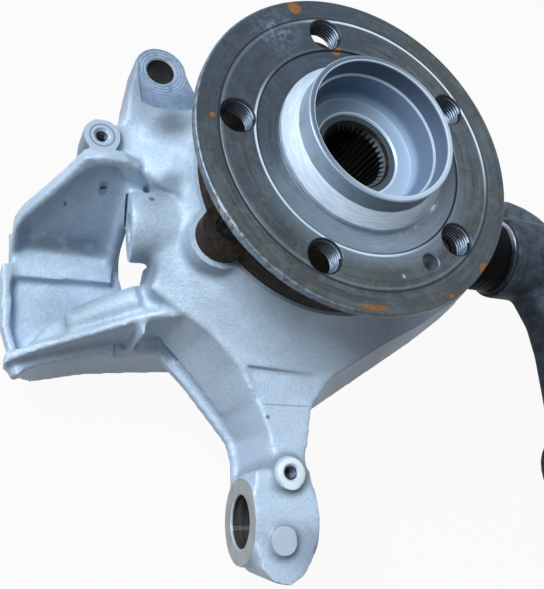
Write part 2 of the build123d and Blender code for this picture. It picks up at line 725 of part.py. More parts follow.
def joint_washer():
    """The hard washer under the bolt's head."""
    inner, right = JOINT_BOLT_RADIUS + RUNNING_FIT, SLEEVE_RIGHT + WASHER_THICKNESS
    outline = [(SLEEVE_RIGHT, inner), (right, inner), (right, WASHER_RADIUS), (SLEEVE_RIGHT, WASHER_RADIUS)]
    return turned_x(outline, JOINT_Y, JOINT_Z)


def joint_bolt():
    """The bolt through the sleeve into the casting's lug."""
    seat = SLEEVE_RIGHT + WASHER_THICKNESS
    shank = bar_x(JOINT_BOLT_RADIUS, JOINT_LUG_FACE - JOINT_BOLT_REACH, seat, JOINT_Y, JOINT_Z)
    hexagon = RegularPolygon(JOINT_HEAD_FLATS / 2, 6, major_radius=False)
    head = Pos(seat, JOINT_Y, JOINT_Z) * Rot(0, 90, 0) * extrude(hexagon, JOINT_HEAD_HEIGHT)
    return shank + head


def link_arm():
    """The forged link: an eye round the bush with a shoulder over it, a waisted stem, and the far eye."""
    left, right = LINK_EYE_LEFT, LINK_EYE_LEFT + LINK_EYE_WIDTH
    plan = [
        (left + 1, -24), (120.4, -27.2), (128.2, -34.1), (134.8, -47.7), (137.4, -63.4), (138.1, -85.1),
        (LINK_END_LEFT + 1, LINK_END_Y), (LINK_END_LEFT + LINK_END_WIDTH - 1, LINK_END_Y), (159, -90),
        (158, -60),
        (right + 1, -28), (right, 9), (142.4, 15.2), (133.7, 18.9), (123, 21.3), (left + 3, 18),
        (left + 1, 6),
    ]
    face = make_face(Polyline([*plan], close=True))
    body = Pos(0, 0, JOINT_Z - LINK_HALF_DEPTH) * extrude(face, 2 * LINK_HALF_DEPTH)
    broad_faces = body.faces().filter_by(Axis.Z)
    body = chamfer(broad_faces.edges(), LINK_CHAMFER)
    body += bar_x(LINK_EYE_RADIUS, left, right, JOINT_Y, JOINT_Z)
    body += bar_x(LINK_END_RADIUS, LINK_END_LEFT, LINK_END_LEFT + LINK_END_WIDTH, LINK_END_Y, JOINT_Z)
    body -= bar_x(BUSH_RADIUS + FIT, left - 1, right + 20, JOINT_Y, JOINT_Z)
    body -= bar_x(LINK_END_BORE, LINK_END_LEFT - 1, LINK_END_LEFT + LINK_END_WIDTH + 1, LINK_END_Y, JOINT_Z)
    return body


def far_tube(outer, inner, proud):
    """A tube in the link's far eye, standing proud of it at both ends."""
    left = LINK_END_LEFT - proud
    right = LINK_END_LEFT + LINK_END_WIDTH + proud
    return turned_x([(left, inner), (right, inner), (right, outer), (left, outer)], LINK_END_Y, JOINT_Z)


# ---------------------------------------------------------------- files
keep(wheel_hub(), "wheel_hub")
keep(bearing_outer_ring(), "bearing_outer_ring")
keep(bearing_inner_ring(), "bearing_inner_ring")
keep(roller_row(OUTBOARD_ROW, 1), "outboard_rollers")
keep(roller_row(INBOARD_ROW, -1), "inboard_rollers")
keep(cage(OUTBOARD_ROW, 1), "outboard_cage")
keep(cage(INBOARD_ROW, -1), "inboard_cage")
keep(seal(RING_TOP, 1), "outboard_seal")
keep(seal(INNER_RING_END + ENCODER_WIDTH + SOFT_GAP, -1), "inboard_seal")
keep(encoder_ring(), "encoder_ring")
keep(bearing_bolts(), "bearing_bolts")
keep(casting(), "knuckle_casting")
keep(joint_sleeve(), "joint_sleeve")
keep(joint_rubber(), "joint_rubber")
keep(joint_end_ring(), "joint_end_ring")
keep(joint_washer(), "joint_washer")
keep(joint_bolt(), "joint_bolt")
keep(link_arm(), "link_arm")
keep(far_tube(LINK_END_BORE - FIT, FAR_SLEEVE_RADIUS + FIT, 0.0), "arm_end_bush")
keep(far_tube(FAR_SLEEVE_RADIUS, FAR_SLEEVE_BORE, 1.0), "arm_end_sleeve")
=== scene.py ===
# %% [markdown]
# # A steering knuckle with its hub, dressed for rendering
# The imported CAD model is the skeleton: its bodies and joints are used as they are, and the sizes typed
# below repeat its own. This script adds what a CAD solid leaves out: the soft edges and grain of a
# casting, turning marks, threads, rust and lighting.

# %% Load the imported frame
import math

import bmesh
import bpy
from mathutils import Matrix, Vector


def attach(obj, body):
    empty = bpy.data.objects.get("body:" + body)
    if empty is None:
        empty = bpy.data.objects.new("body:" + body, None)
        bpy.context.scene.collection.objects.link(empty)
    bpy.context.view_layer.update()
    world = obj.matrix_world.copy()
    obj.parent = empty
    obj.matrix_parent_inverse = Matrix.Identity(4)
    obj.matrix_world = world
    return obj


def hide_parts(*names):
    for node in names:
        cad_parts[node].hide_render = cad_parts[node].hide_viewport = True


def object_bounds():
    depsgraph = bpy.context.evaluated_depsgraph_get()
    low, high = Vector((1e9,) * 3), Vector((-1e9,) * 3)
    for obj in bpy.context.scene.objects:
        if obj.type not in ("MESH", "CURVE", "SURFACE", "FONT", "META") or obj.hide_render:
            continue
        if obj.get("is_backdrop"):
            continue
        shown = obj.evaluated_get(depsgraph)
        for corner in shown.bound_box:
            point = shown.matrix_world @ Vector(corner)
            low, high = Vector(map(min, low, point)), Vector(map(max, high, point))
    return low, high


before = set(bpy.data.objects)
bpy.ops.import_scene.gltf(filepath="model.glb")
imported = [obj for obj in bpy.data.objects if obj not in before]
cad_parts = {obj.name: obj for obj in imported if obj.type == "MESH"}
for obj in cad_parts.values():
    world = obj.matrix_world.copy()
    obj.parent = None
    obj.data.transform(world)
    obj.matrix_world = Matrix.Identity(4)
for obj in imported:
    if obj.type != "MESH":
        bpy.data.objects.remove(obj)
cad_box = [list(corner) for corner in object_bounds()]
print("CAD box in metres:", cad_box)

# %% [markdown]
# ## Shader maths as plain expressions
# A material is a graph of nodes. Wiring it by hand is slow to read, so a small class wraps one socket and
# overloads the arithmetic signs: `1 - mask * 0.5` then adds the Math nodes itself.

# %% A number that varies over a surface
MM = 0.001


class Field:
    """A socket whose value varies over a surface, ready for arithmetic."""

    def __init__(self, finish, socket):
        self.finish = finish
        self.socket = socket

    def maths(self, operation, first, second=0.0):
        return self.finish.node("ShaderNodeMath", {"operation": operation}, {0: first, 1: second})

    def __add__(self, other):
        return self.maths("ADD", self, other)

    def __sub__(self, other):
        return self.maths("SUBTRACT", self, other)

    def __rsub__(self, other):
        return self.maths("SUBTRACT", other, self)

    def __mul__(self, other):
        return self.maths("MULTIPLY", self, other)

    def __truediv__(self, other):
        return self.maths("DIVIDE", self, other)

    __radd__ = __add__
    __rmul__ = __mul__

    def either(self, other):
        return self.maths("MAXIMUM", self, other)

    def root(self):
        return self.maths("SQRT", self)

    def wave(self, length):
        """A sine of this many metres a turn, from 0 to 1."""
        return self.maths("SINE", self * (2 * math.pi / length)) * 0.5 + 0.5

    def rise(self, low, high):
        """0 below low, 1 above high, and smooth between. With low above high it falls."""
        settings = {"interpolation_type": "SMOOTHSTEP"}
        return self.finish.node("ShaderNodeMapRange", settings, {0: self, 1: low, 2: high}, "Result")

    def band(self, low, high, soft):
        """1 between low and high, with soft edges."""
        return self.rise(low - soft, low + soft) * self.rise(high + soft, high - soft)


# %% [markdown]
# ## One material, one object
# `Finish` starts a Principled material. Values that are the same all over are set on the shader's own
# sockets. Only what changes over the surface is linked.

# %% A finish that is built up in layers
class Finish:
    """A Principled material on Object coordinates."""

    def __init__(self, name, colour, roughness, metallic=0.0, specular=0.5):
        self.material = bpy.data.materials.new(name)
        self.material.use_nodes = True
        self.tree = self.material.node_tree
        self.shader = self.tree.nodes["Principled BSDF"]
        self.set("Base Color", (*colour, 1.0))
        self.set("Roughness", roughness)
        self.set("Metallic", metallic)
        self.set("Specular IOR Level", specular)
        self.place = self.node("ShaderNodeTexCoord", output="Object")
        self.x, self.y, self.z = self.split(self.place)

    def split(self, vector):
        """The three coordinates of a vector."""
        parts = self.tree.nodes.new("ShaderNodeSeparateXYZ")
        self.tree.links.new(vector.socket, parts.inputs[0])
        return [Field(self, socket) for socket in parts.outputs]

    def join(self, value, socket):
        if isinstance(value, Field):
            self.tree.links.new(value.socket, socket)
        else:
            socket.default_value = value

    def set(self, name, value):
        self.join(value, self.shader.inputs[name])

    def node(self, kind, settings=None, inputs=None, output=0):
        """Adds a node: its settings first, then its sockets, and hands back one of its outputs."""
        made = self.tree.nodes.new(kind)
        for name, value in (settings or {}).items():
            setattr(made, name, value)
        for key, value in (inputs or {}).items():
            self.join(value, made.inputs[key])
        return Field(self, made.outputs[output])

    def noise(self, size, detail=3.0, stretch=None, roughness=0.5, warp=0.0, place=None):
        """Noise from 0 to 1 whose features are about this many metres across."""
        place = place or self.place
        if stretch:
            place = self.node("ShaderNodeMapping", None, {"Vector": place, "Scale": stretch})
        look = {"Scale": 1 / size, "Detail": detail, "Roughness": roughness, "Distortion": warp}
        return self.node("ShaderNodeTexNoise", None, {"Vector": place, **look})

    def mix(self, mask, low, high):
        """One colour where the mask is 0 and another where it is 1."""
        first, second = (tone if isinstance(tone, Field) else (*tone, 1.0) for tone in (low, high))
        inputs = {0: mask, 6: first, 7: second}  # its colour sockets come after those of its other types
        return self.node("ShaderNodeMix", {"data_type": "RGBA"}, inputs, 2)

    def round_axis(self, across, up, centre=(0.0, 0.0)):
        """Distance from an axis seen end on, whose centre is given in millimetres."""
        first, second = across - centre[0] * MM, up - centre[1] * MM
        return (first * first + second * second).root()

    def from_line(self, x, y):
        """Distance from an upright line through a place in millimetres."""
        return self.round_axis(self.x, self.y, (x, y))

    def swirl(self, radius, east, north, pitch, sweep):
        """Noise drawn out along circles, as a lathe tool leaves it; east and north point off the axis."""
        inputs = {0: radius / (pitch * MM), 1: east * sweep, 2: north * sweep}
        return self.noise(1.0, place=self.node("ShaderNodeCombineXYZ", None, inputs))

    def spot(self, x, y, radius, soft):
        """A round patch about an upright line."""
        return self.from_line(x, y).rise((radius + soft) * MM, (radius - soft) * MM)

    def blot(self, x, y, radius, ragged):
        """A spot with a ragged outline."""
        distance = self.from_line(x, y) + (ragged - 0.5) * (radius * 0.9 * MM)
        return distance.rise(radius * 1.2 * MM, radius * 0.7 * MM)

    def bump(self, height, depth):
        """Lets a height from 0 to 1 tilt the surface, up to this many metres deep."""
        inputs = {"Distance": depth, "Height": height, "Strength": 1.0}
        self.set("Normal", self.node("ShaderNodeBump", None, inputs, "Normal"))


# %% [markdown]
# ## Turning a sketch into a piece
# Round parts are spun from half of their section, as on a lathe. Cast parts start from the CAD mesh. Both
# end in the same helper, which gives the mesh a finish and a body to ride on, and hides the CAD node that
# it stands for.

# %% Helpers that make and join meshes
ALONG_X = Matrix.Rotation(math.radians(90), 4, "Y")
VOXEL = 1.0 * MM


def lathe(outline, steps=160, where=Matrix()):
    """A closed ring spun about Z from a loop of (radius, height) in millimetres."""
    form = bmesh.new()
    corners = [form.verts.new((r * MM, 0, z * MM)) for r, z in outline]
    for start, end in zip(corners, corners[1:] + corners[:1]):
        form.edges.new((start, end))
    bmesh.ops.spin(
        form, geom=form.verts[:] + form.edges[:], cent=(0, 0, 0), axis=(0, 0, 1), angle=2 * math.pi,
        steps=steps, use_merge=True,
    )
    bmesh.ops.remove_doubles(form, verts=form.verts, dist=1e-7)
    bmesh.ops.recalc_face_normals(form, faces=form.faces)
    bmesh.ops.transform(form, matrix=where, verts=form.verts)
    return form


def rod(form, radius, start, end, sides=48, tip=None):
    """Adds a closed round bar between two points in millimetres; tip is the radius at its far end."""
    first, last = Vector(start) * MM, Vector(end) * MM
    turn = (last - first).to_track_quat("Z", "Y").to_matrix().to_4x4()
    bmesh.ops.create_cone(
        form, cap_ends=True, segments=sides, radius1=radius * MM,
        radius2=(radius if tip is None else tip) * MM, depth=(last - first).length,
        matrix=Matrix.Translation((first + last) / 2) @ turn,
    )


def extrude_ring(form, ring):
    """Closes a ring of points into a face, extrudes it, and hands back the new points to be moved."""
    face = form.faces.new(ring)
    lifted = bmesh.ops.extrude_face_region(form, geom=[face])["geom"]
    return [item for item in lifted if isinstance(item, bmesh.types.BMVert)]


def prism(form, outline, top):
    """Adds an upright closed block over a plan of (x, y, z) corners in millimetres, up to a level top."""
    raised = extrude_ring(form, [form.verts.new(Vector(corner) * MM) for corner in outline])
    bmesh.ops.scale(form, vec=(1, 1, 0), verts=raised)
    bmesh.ops.translate(form, vec=(0, 0, top * MM), verts=raised)
    bmesh.ops.recalc_face_normals(form, faces=form.faces)


def solid_object(form, name):
    """Puts a bmesh in the scene as an object."""
    mesh = bpy.data.meshes.new(name)
    form.to_mesh(mesh)
    form.free()
    made = bpy.data.objects.new(name, mesh)
    bpy.context.scene.collection.objects.link(made)
    return made


def settle(thing):
    """Applies an object's modifiers for good."""
    bpy.context.view_layer.update()
    shown = thing.evaluated_get(bpy.context.evaluated_depsgraph_get())
    finished = bpy.data.meshes.new_from_object(shown)
    thing.modifiers.clear()
    old = thing.data
    thing.data = finished
    finished.name = thing.name
    bpy.data.meshes.remove(old)


def add_skin(thing):
    """Adds a modifier that rebuilds the surface from even squares, one voxel wide."""
    skin = thing.modifiers.new("skin", "REMESH")
    skin.mode = "VOXEL"
    skin.voxel_size = VOXEL


def add_relax(thing, rounds):
    """Adds a modifier that pulls every point halfway to the middle of its neighbours, this many times."""
    relax = thing.modifiers.new("relax", "SMOOTH")
    relax.factor = 0.5
    relax.iterations = rounds


def cut(thing, form, solver="MANIFOLD"):
    """Machines a shape away from an object."""
    tool = solid_object(form, "cutting_tool")
    step = thing.modifiers.new("cut", "BOOLEAN")
    step.operation = "DIFFERENCE"
    step.solver = solver
    step.object = tool
    settle(thing)
    bpy.data.objects.remove(tool)


def finish_piece(thing, finish, body, slot, *nodes, sharp=32):
    """Shades a finished piece and ties it to its CAD body."""
    thing.data.materials.clear()
    thing.data.materials.append(finish.material)
    thing.data.shade_smooth()
    thing.data.set_sharp_from_angle(angle=math.radians(sharp))
    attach(thing, body)
    if nodes:
        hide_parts(*nodes)
    thing.data.calc_loop_triangles()
    print(thing.name, "has", len(thing.data.loop_triangles), "triangles")


# %% [markdown]
# ## The wheel hub
# The hub is a forging that is turned all over. Half of its section is drawn with the small breaks and
# steps that a lathe leaves, and spun. The wheel-bolt holes and the splined bore are then cut out of it.

# %% Spin the hub's section
hub_section = [  # radius and height in millimetres, up the inside and down the outside
    (13.7, -9.0), (16.3, -5.2), (16.5, -5.0), (18.9, -5.0), (19.1, -4.8), (19.1, -4.25), (19.4, -4.0),
    (25.2, -4.0), (26.2, -3.6), (26.8, -2.6), (27.3, -0.5), (29.3, 8.0), (29.6, 8.55), (29.9, 8.7),
    (30.4, 8.75), (30.5, 8.9), (30.5, 16.9), (30.9, 17.6), (31.4, 17.8), (32.6, 17.8), (33.25, 17.2),
    (33.25, 9.3), (33.5, 8.3), (38.2, 2.5), (38.4, 2.1), (38.4, -0.5), (38.8, -0.8), (47.8, -0.8),
    (48.0, -0.65), (48.1, -0.25), (48.4, 0.0), (63.2, 0.0), (63.5, -0.15), (63.6, -0.3), (73.2, -0.3),
    (73.6, -0.5), (73.75, -0.9), (73.75, -4.1), (73.4, -4.6), (67.4, -10.0), (66.8, -10.4), (66.0, -10.5),
    (36.0, -10.5), (34.5, -11.0), (34.0, -12.5), (34.0, -19.7), (30.6, -19.7), (28.2, -35.4),
    (28.2, -38.5), (24.0, -38.5), (24.0, -64.0), (28.0, -64.0), (28.5, -64.6), (27.6, -67.6),
    (26.6, -68.8), (26.0, -69.0), (14.6, -69.0), (13.7, -68.2),
]
wheel_hub = solid_object(lathe(hub_section, steps=224), "wheel_hub_turned")
print("hub section points:", len(hub_section))

# %% [markdown]
# The spline is a star-shaped prism of thirty-six teeth. The five bolt holes start every 72 degrees, and
# each has a countersunk mouth. The cutters are closed shapes, so the boolean modifier can take them away
# cleanly.

# %% Cut the spline and the holes
TEETH = 36
TOOTH_TIP = 13.6
TOOTH_ROOT = 15.0
TOOTH_CORNERS = [  # share of a tooth's pitch, and radius
    (-0.3, TOOTH_TIP), (-0.15, TOOTH_ROOT), (0.15, TOOTH_ROOT), (0.3, TOOTH_TIP),
]
BOLT_CIRCLE = 56.0
WHEEL_BOLTS = [(BOLT_CIRCLE, 175.9 + 72.0 * k) for k in range(5)]
LOCATOR = (BOLT_CIRCLE, 300.4)
LOCATOR_RADIUS = 3.9
THREAD_CREST = 6.4
THREAD_ROOT = 7.0
ABOVE_FLANGE, BELOW_FLANGE = 2, -12


def polar(radius, degrees):
    """A point in the flange's plane, in millimetres."""
    return radius * math.cos(math.radians(degrees)), radius * math.sin(math.radians(degrees))


def star_prism(top, bottom):
    """The space between the spline's teeth, as an upright closed block."""
    form = bmesh.new()
    ring = []
    for tooth in range(TEETH):
        for share, radius in TOOTH_CORNERS:
            x, y = polar(radius, (tooth + share) * 360 / TEETH)
            ring.append(form.verts.new((x * MM, y * MM, bottom * MM)))
    raised = extrude_ring(form, ring)
    bmesh.ops.translate(form, vec=(0, 0, (top - bottom) * MM), verts=raised)
    bmesh.ops.recalc_face_normals(form, faces=form.faces)
    return form


cut(wheel_hub, star_prism(-7.0, -70.0), "EXACT")
holes, mouths = bmesh.new(), bmesh.new()
for circle, degrees in WHEEL_BOLTS:
    x, y = polar(circle, degrees)
    rod(holes, THREAD_ROOT, (x, y, ABOVE_FLANGE), (x, y, BELOW_FLANGE))
    rod(mouths, 6.6, (x, y, -1.4), (x, y, 0.6), tip=8.6)
    rod(mouths, 8.4, (x, y, -11.2), (x, y, -9.6), tip=6.8)
x, y = polar(*LOCATOR)
rod(holes, LOCATOR_RADIUS, (x, y, ABOVE_FLANGE), (x, y, BELOW_FLANGE))
rod(mouths, 3.6, (x, y, -0.9), (x, y, 0.4), tip=4.9)
cut(wheel_hub, holes, "EXACT")
cut(wheel_hub, mouths, "EXACT")
print("hub faces after cutting:", len(wheel_hub.data.polygons))

# %% [markdown]
# A screw thread is a small triangle wound along a helix. Spin can do that too: it is given a shift along
# the axis for each step. The crests reach in to the size of the CAD hole.

# %% Wind the threads of the wheel-bolt holes
PITCH = 1.5
TURN_STEPS = 40
BURIED = 0.12  # how far a thread reaches into the wall, in millimetres


def thread(form, x, y, top, length, crest, root, pitch=PITCH):
    """Winds one internal thread, downwards from the top, with its ends buried in the wall."""
    wall = root + BURIED
    corners = [(wall, 0.0), (crest, -0.40 * pitch), (crest, -0.55 * pitch), (wall, -0.95 * pitch)]
    ring = [form.verts.new(((x + r) * MM, y * MM, (top + z) * MM)) for r, z in corners]
    edges = [form.edges.new((ring[k], ring[k + 1])) for k in range(3)]
    turns = length / pitch
    bmesh.ops.spin(
        form, geom=ring + edges, cent=(x * MM, y * MM, 0), axis=(0, 0, 1),
        dvec=(0, 0, -pitch / TURN_STEPS * MM), angle=2 * math.pi * turns, steps=int(turns * TURN_STEPS),
    )


threads = bmesh.new()
for circle, degrees in WHEEL_BOLTS:
    thread(threads, *polar(circle, degrees), -0.9, 8.2, THREAD_CREST, THREAD_ROOT)
wheel_threads = solid_object(threads, "wheel_bolt_threads")
print("thread faces:", len(wheel_threads.data.polygons))

# %% [markdown]
# ## Finish of the hub
# One forging shows several surfaces: a dark turned flange with rings, a paler brushed cone, slate-blue
# walls in the cup and brown stains in the spline. Masks on radius and height choose between them, and a
# few rust spots sit where water stood. Light and shade are painted in as well: a sheen fan, bright arcs
# and edge highlights on the flange, a darker upper-left side, lit and shaded sides of the walls, lip and
# cup, lit tooth tips, and near-black bolt holes and spline bore as painted shade.

# %% Layer the hub's finish
hub_finish = Finish("turned_hub_steel", (0.10, 0.12, 0.14), 0.4, metallic=0.35, specular=0.12)
radius = hub_finish.round_axis(hub_finish.x, hub_finish.y)
height = hub_finish.z
east, north = hub_finish.x / radius, hub_finish.y / radius


def toward(degrees, low, high):
    """1 on the side of the axis that lies this way, fading out round the circle."""
    turn = math.radians(degrees)
    return (east * math.cos(turn) + north * math.sin(turn)).rise(low, high)


broad = hub_finish.noise(26 * MM, detail=4, warp=0.6)
fine = hub_finish.noise(2.2 * MM, detail=4)
speck = hub_finish.noise(0.9 * MM, detail=2)
rings = hub_finish.swirl(radius, east, north, 1.3, 2.4).rise(0.30, 0.70)
hairs = hub_finish.swirl(radius, east, north, 0.45, 6.0)

flange = hub_finish.mix(rings, (0.054, 0.070, 0.086), (0.098, 0.120, 0.136))
flange = hub_finish.mix(broad.rise(0.40, 0.62) * 0.5, flange, (0.062, 0.063, 0.058))
blued = hub_finish.noise(13 * MM, detail=5, roughness=0.65, warp=1.0)
flange = hub_finish.mix(blued.rise(0.48, 0.66) * 0.4, flange, (0.034, 0.054, 0.086))
tan = hub_finish.noise(9 * MM, detail=7, roughness=0.7, warp=0.8).rise(0.50, 0.64)
tan_side = (east + north * 0.35).rise(0.6, -0.6)
flange = hub_finish.mix(tan * tan_side * 0.60, flange, (0.135, 0.128, 0.105))
nicks = hub_finish.noise(2.6 * MM, detail=6, stretch=(1.0, 1.6, 1.0), roughness=0.7, warp=0.7)
flange = hub_finish.mix(nicks.rise(0.57, 0.69) * 0.75, flange, (0.018, 0.023, 0.030))
smoke = hub_finish.noise(6 * MM, detail=6, roughness=0.7).rise(0.46, 0.74)
flange = hub_finish.mix(smoke * 0.45, flange, (0.14, 0.175, 0.21))
worn = hub_finish.noise(3.2 * MM, detail=6, roughness=0.72, warp=0.5).rise(0.45, 0.60)
scuffs = hub_finish.spot(-37.5, 49.5, 8, 8) * worn
flange = hub_finish.mix(scuffs * 0.85, flange, (0.29, 0.39, 0.54))

# Painted sheen: a bow-tie fan of light on the brushed flange, brightest towards -Y.
painted_sheen_fan = toward(-80, -0.1, 0.95) * radius.rise(58 * MM, 43 * MM) * (0.4 + hairs * 0.9)
flange = hub_finish.mix(painted_sheen_fan * 0.9, flange, (0.27, 0.35, 0.45))
# Painted shade: the upper-left side of the flange is darker and bluer.
flange = hub_finish.mix(toward(138, 0.2, 0.95) * 0.5, flange, (0.034, 0.056, 0.088))
# Painted highlights: bright arcs on the two ring steps, on the side where light catches them.
inner_arc_highlight = radius.band(48.2 * MM, 49.3 * MM, 0.3 * MM) * (toward(225, 0.10, 0.75) * 0.93 + 0.05)
outer_arc_highlight = radius.band(62.2 * MM, 63.9 * MM, 0.3 * MM) * (toward(52, 0.35, 0.85) * 0.95 + 0.09)
flange = hub_finish.mix(inner_arc_highlight.either(outer_arc_highlight), flange, (0.60, 0.74, 0.86))
# Painted highlight on the flange's outer chamfer, strongest on one side.
chamfer_highlight = radius.rise(72.8 * MM, 73.2 * MM) * (toward(190, 0.1, 0.7) * 0.7 + 0.08) * fine.rise(0.2, 0.6)
flange = hub_finish.mix(chamfer_highlight, flange, (0.22, 0.29, 0.38))
# The rim's edge is pale: partly wear, partly a painted highlight that fades round one side.
rim_glint_side = toward(213, 0.985, 0.999) + toward(240, 0.7, 0.95) * 0.16
worn_and_glinting_edge = radius.rise(72.3 * MM, 72.9 * MM) * rim_glint_side * fine.rise(0.40, 0.60)
flange = hub_finish.mix(worn_and_glinting_edge, flange, (0.34, 0.40, 0.46))

brushed = hub_finish.mix(hairs.rise(0.3, 0.7), (0.54, 0.68, 0.85), (0.70, 0.84, 0.98))
cone = radius.band(33.4 * MM, 38.5 * MM, 0.15 * MM) * height.rise(-0.3 * MM, 0.4 * MM)
# Painted highlight: a bright streak just outside the cone, on one side.
cone_end_highlight = radius.band(38.2 * MM, 40.6 * MM, 0.8 * MM) * toward(-48, 0.80, 0.99) * smoke.rise(0.1, 0.6)
colour = hub_finish.mix(cone.either(cone_end_highlight), flange, brushed)
outer_wall = radius.band(31.8 * MM, 33.45 * MM, 0.05 * MM) * height.rise(8.0 * MM, 8.8 * MM)
# Painted light and shade: the spigot wall is lit on one side and shaded on the other.
wall_lit_and_shaded_tone = hub_finish.mix(toward(170, -0.4, 0.9), (0.22, 0.28, 0.36), (0.46, 0.58, 0.73))
wall_lit_and_shaded_tone = hub_finish.mix(smoke * 0.4, wall_lit_and_shaded_tone, (0.12, 0.15, 0.19))
colour = hub_finish.mix(outer_wall, colour, wall_lit_and_shaded_tone)
lip = height.rise(17.2 * MM, 17.7 * MM)
# Painted light and shade on the spigot's lip, lit towards one side.
lip_lit_and_shaded_tone = hub_finish.mix(toward(-35, -0.7, 0.8), (0.12, 0.17, 0.24), (0.44, 0.56, 0.70))
colour = hub_finish.mix(lip, colour, lip_lit_and_shaded_tone)
lip_break = radius.band(30.4 * MM, 31.2 * MM, 0.15 * MM) * height.rise(16.4 * MM, 16.9 * MM)
colour = hub_finish.mix(lip_break, colour, (0.62, 0.74, 0.86))

inside = radius.rise(30.9 * MM, 30.6 * MM)
# Painted light and shade: each band of the cup wall and its fillet comes in a lit and a shaded tone, chosen
# by side.
lit_side = toward(-20, -0.9, 0.9)
upper_band = hub_finish.mix(lit_side, (0.075, 0.105, 0.150), (0.16, 0.22, 0.31))
lower_band = hub_finish.mix(lit_side, (0.10, 0.15, 0.23), (0.20, 0.28, 0.41))
cup = hub_finish.mix(height.rise(8.7 * MM, 8.4 * MM), upper_band, lower_band)
ledge = height.band(8.35 * MM, 8.9 * MM, 0.12 * MM)
fillet = height.rise(1.5 * MM, -2.4 * MM)
cup = hub_finish.mix(ledge, cup, (0.46, 0.58, 0.72))
fillet_tone = hub_finish.mix(lit_side, (0.21, 0.29, 0.39), (0.40, 0.52, 0.66))
cup = hub_finish.mix(fillet, cup, fillet_tone)
colour = hub_finish.mix(inside, colour, cup)
bright_ring = radius.band(18.9 * MM, 19.8 * MM, 0.15 * MM)
recess = radius.rise(19.2 * MM, 18.8 * MM)
colour = hub_finish.mix(recess, colour, (0.075, 0.095, 0.12))
colour = hub_finish.mix(bright_ring * inside, colour, (0.60, 0.72, 0.84))
spline = radius.rise(16.4 * MM, 16.1 * MM)
streaks = hub_finish.noise(1.6 * MM, detail=3, stretch=(1.0, 1.0, 0.12)).rise(0.50, 0.72)
# Painted shade: the spline bore is painted near-black, with brown stains streaking it.
shaded_bore_tone = hub_finish.mix(streaks, (0.008, 0.009, 0.010), (0.060, 0.030, 0.014))
colour = hub_finish.mix(spline, colour, shaded_bore_tone)
# Painted highlight on the spline's tooth tips, on one side.
tooth_tip_highlight = radius.band(13.5 * MM, 15.4 * MM, 0.1 * MM) * height.band(-9.4 * MM, -6.8 * MM, 0.3 * MM)
colour = hub_finish.mix(tooth_tip_highlight * spline * toward(-10, 0.2, 0.8), colour, (0.11, 0.13, 0.15))
print("hub colour layers are wired")

# %% [markdown]
# Rust is warmer and rougher than steel and isn't metallic, so one mask drives colour, roughness and
# metallic.

# %% Add the hub's rust, stains and marks
RUST_SPOTS = [  # place and radius in millimetres
    (-28.0, 64.5, 3.2), (-8.6, 47.4, 2.5), (56, -47.9, 2.8), (36.8, -62.8, 1.4), (-66.5, 2, 1.2),
]
crust = hub_finish.noise(3.0 * MM, detail=6, roughness=0.66)
rust = hub_finish.noise(15 * MM, detail=6, roughness=0.65).rise(0.66, 0.78) * 0.25
for x, y, size in RUST_SPOTS:
    rust = rust.either(hub_finish.blot(x, y, size, crust))
rust = rust.either(radius.band(70.0 * MM, 72.2 * MM, 0.9 * MM) * toward(-91, 0.9935, 0.9990) * 0.85)
under = height.rise(-9.0 * MM, -11 * MM)
rim = radius.rise(72.6 * MM, 73.6 * MM) * hub_finish.noise(4 * MM, detail=5).rise(0.50, 0.66)
rust = rust * (1 - cone) * (1 - inside) * (1 - outer_wall)
orange = hub_finish.mix(speck.rise(0.20, 0.80), (0.21, 0.098, 0.032), (0.33, 0.160, 0.050))
colour = hub_finish.mix(rust, colour, orange)
colour = hub_finish.mix((rim * 0.5 + under * 0.6) * (1 - inside), colour, (0.060, 0.040, 0.028))
scratches = hub_finish.noise(0.9 * MM, stretch=(3.0, 0.5, 1.0)).rise(0.5, 0.56)
scratched = hub_finish.spot(14, -56.2, 1.0, 0.3) * scratches
colour = hub_finish.mix(scratched * 0.9, colour, (0.75, 0.78, 0.78))
# Painted shade: the bolt-hole walls are painted nearly black; the locator hole stays paler.
hole_wall_shade = height.band(-9.4 * MM, -0.25 * MM, 0.1 * MM) * radius.band(47.5 * MM, 64.5 * MM, 0.2 * MM)
colour = hub_finish.mix(hole_wall_shade, colour, (0.022, 0.028, 0.036))
locator = hub_finish.spot(*polar(*LOCATOR), 5.2, 0.3) * hole_wall_shade
colour = hub_finish.mix(locator, colour, (0.17, 0.21, 0.25))
hub_finish.set("Base Color", colour)
hub_finish.set("Metallic", (0.38 - rust * 0.38) * (1 - spline * 0.8))
hub_finish.set("Roughness", 0.36 + fine * 0.16 + rust * 0.4)
relief = rings * 0.25 + hairs * 0.3 + fine * 0.2 + speck * 0.1 + rust * crust
hub_finish.bump(relief, 0.10 * MM)
finish_piece(wheel_hub, hub_finish, "hub", "turned_steel", "wheel_hub", sharp=24)

thread_finish = Finish("thread_steel", (0.06, 0.08, 0.10), 0.34, metallic=0.4, specular=0.2)
grime = thread_finish.noise(2.4 * MM, detail=4)
# Painted light and shade: thread crests are painted pale and their roots nearly black.
crests = thread_finish.z.wave(PITCH * MM).rise(0.25, 0.85)
thread_tone = thread_finish.mix(crests, (0.008, 0.011, 0.016), (0.15, 0.20, 0.27))
thread_tone = thread_finish.mix(grime.rise(0.48, 0.72) * 0.7, thread_tone, (0.014, 0.016, 0.020))
thread_finish.set("Base Color", thread_tone)
thread_finish.set("Roughness", 0.28 + grime * 0.2)
finish_piece(wheel_threads, thread_finish, "hub", "turned_steel", sharp=50)

# %% [markdown]
# ## The casting
# Sand and die castings have no sharp corners: every rib flows into the next through a fillet. Rounding
# hundreds of CAD edges one by one is fragile. Remeshing the whole body into small even squares and
# relaxing them rounds every corner at once. The machined faces must stay crisp, so they get extra stock
# first and are cut afterwards, in the same order as in a foundry.

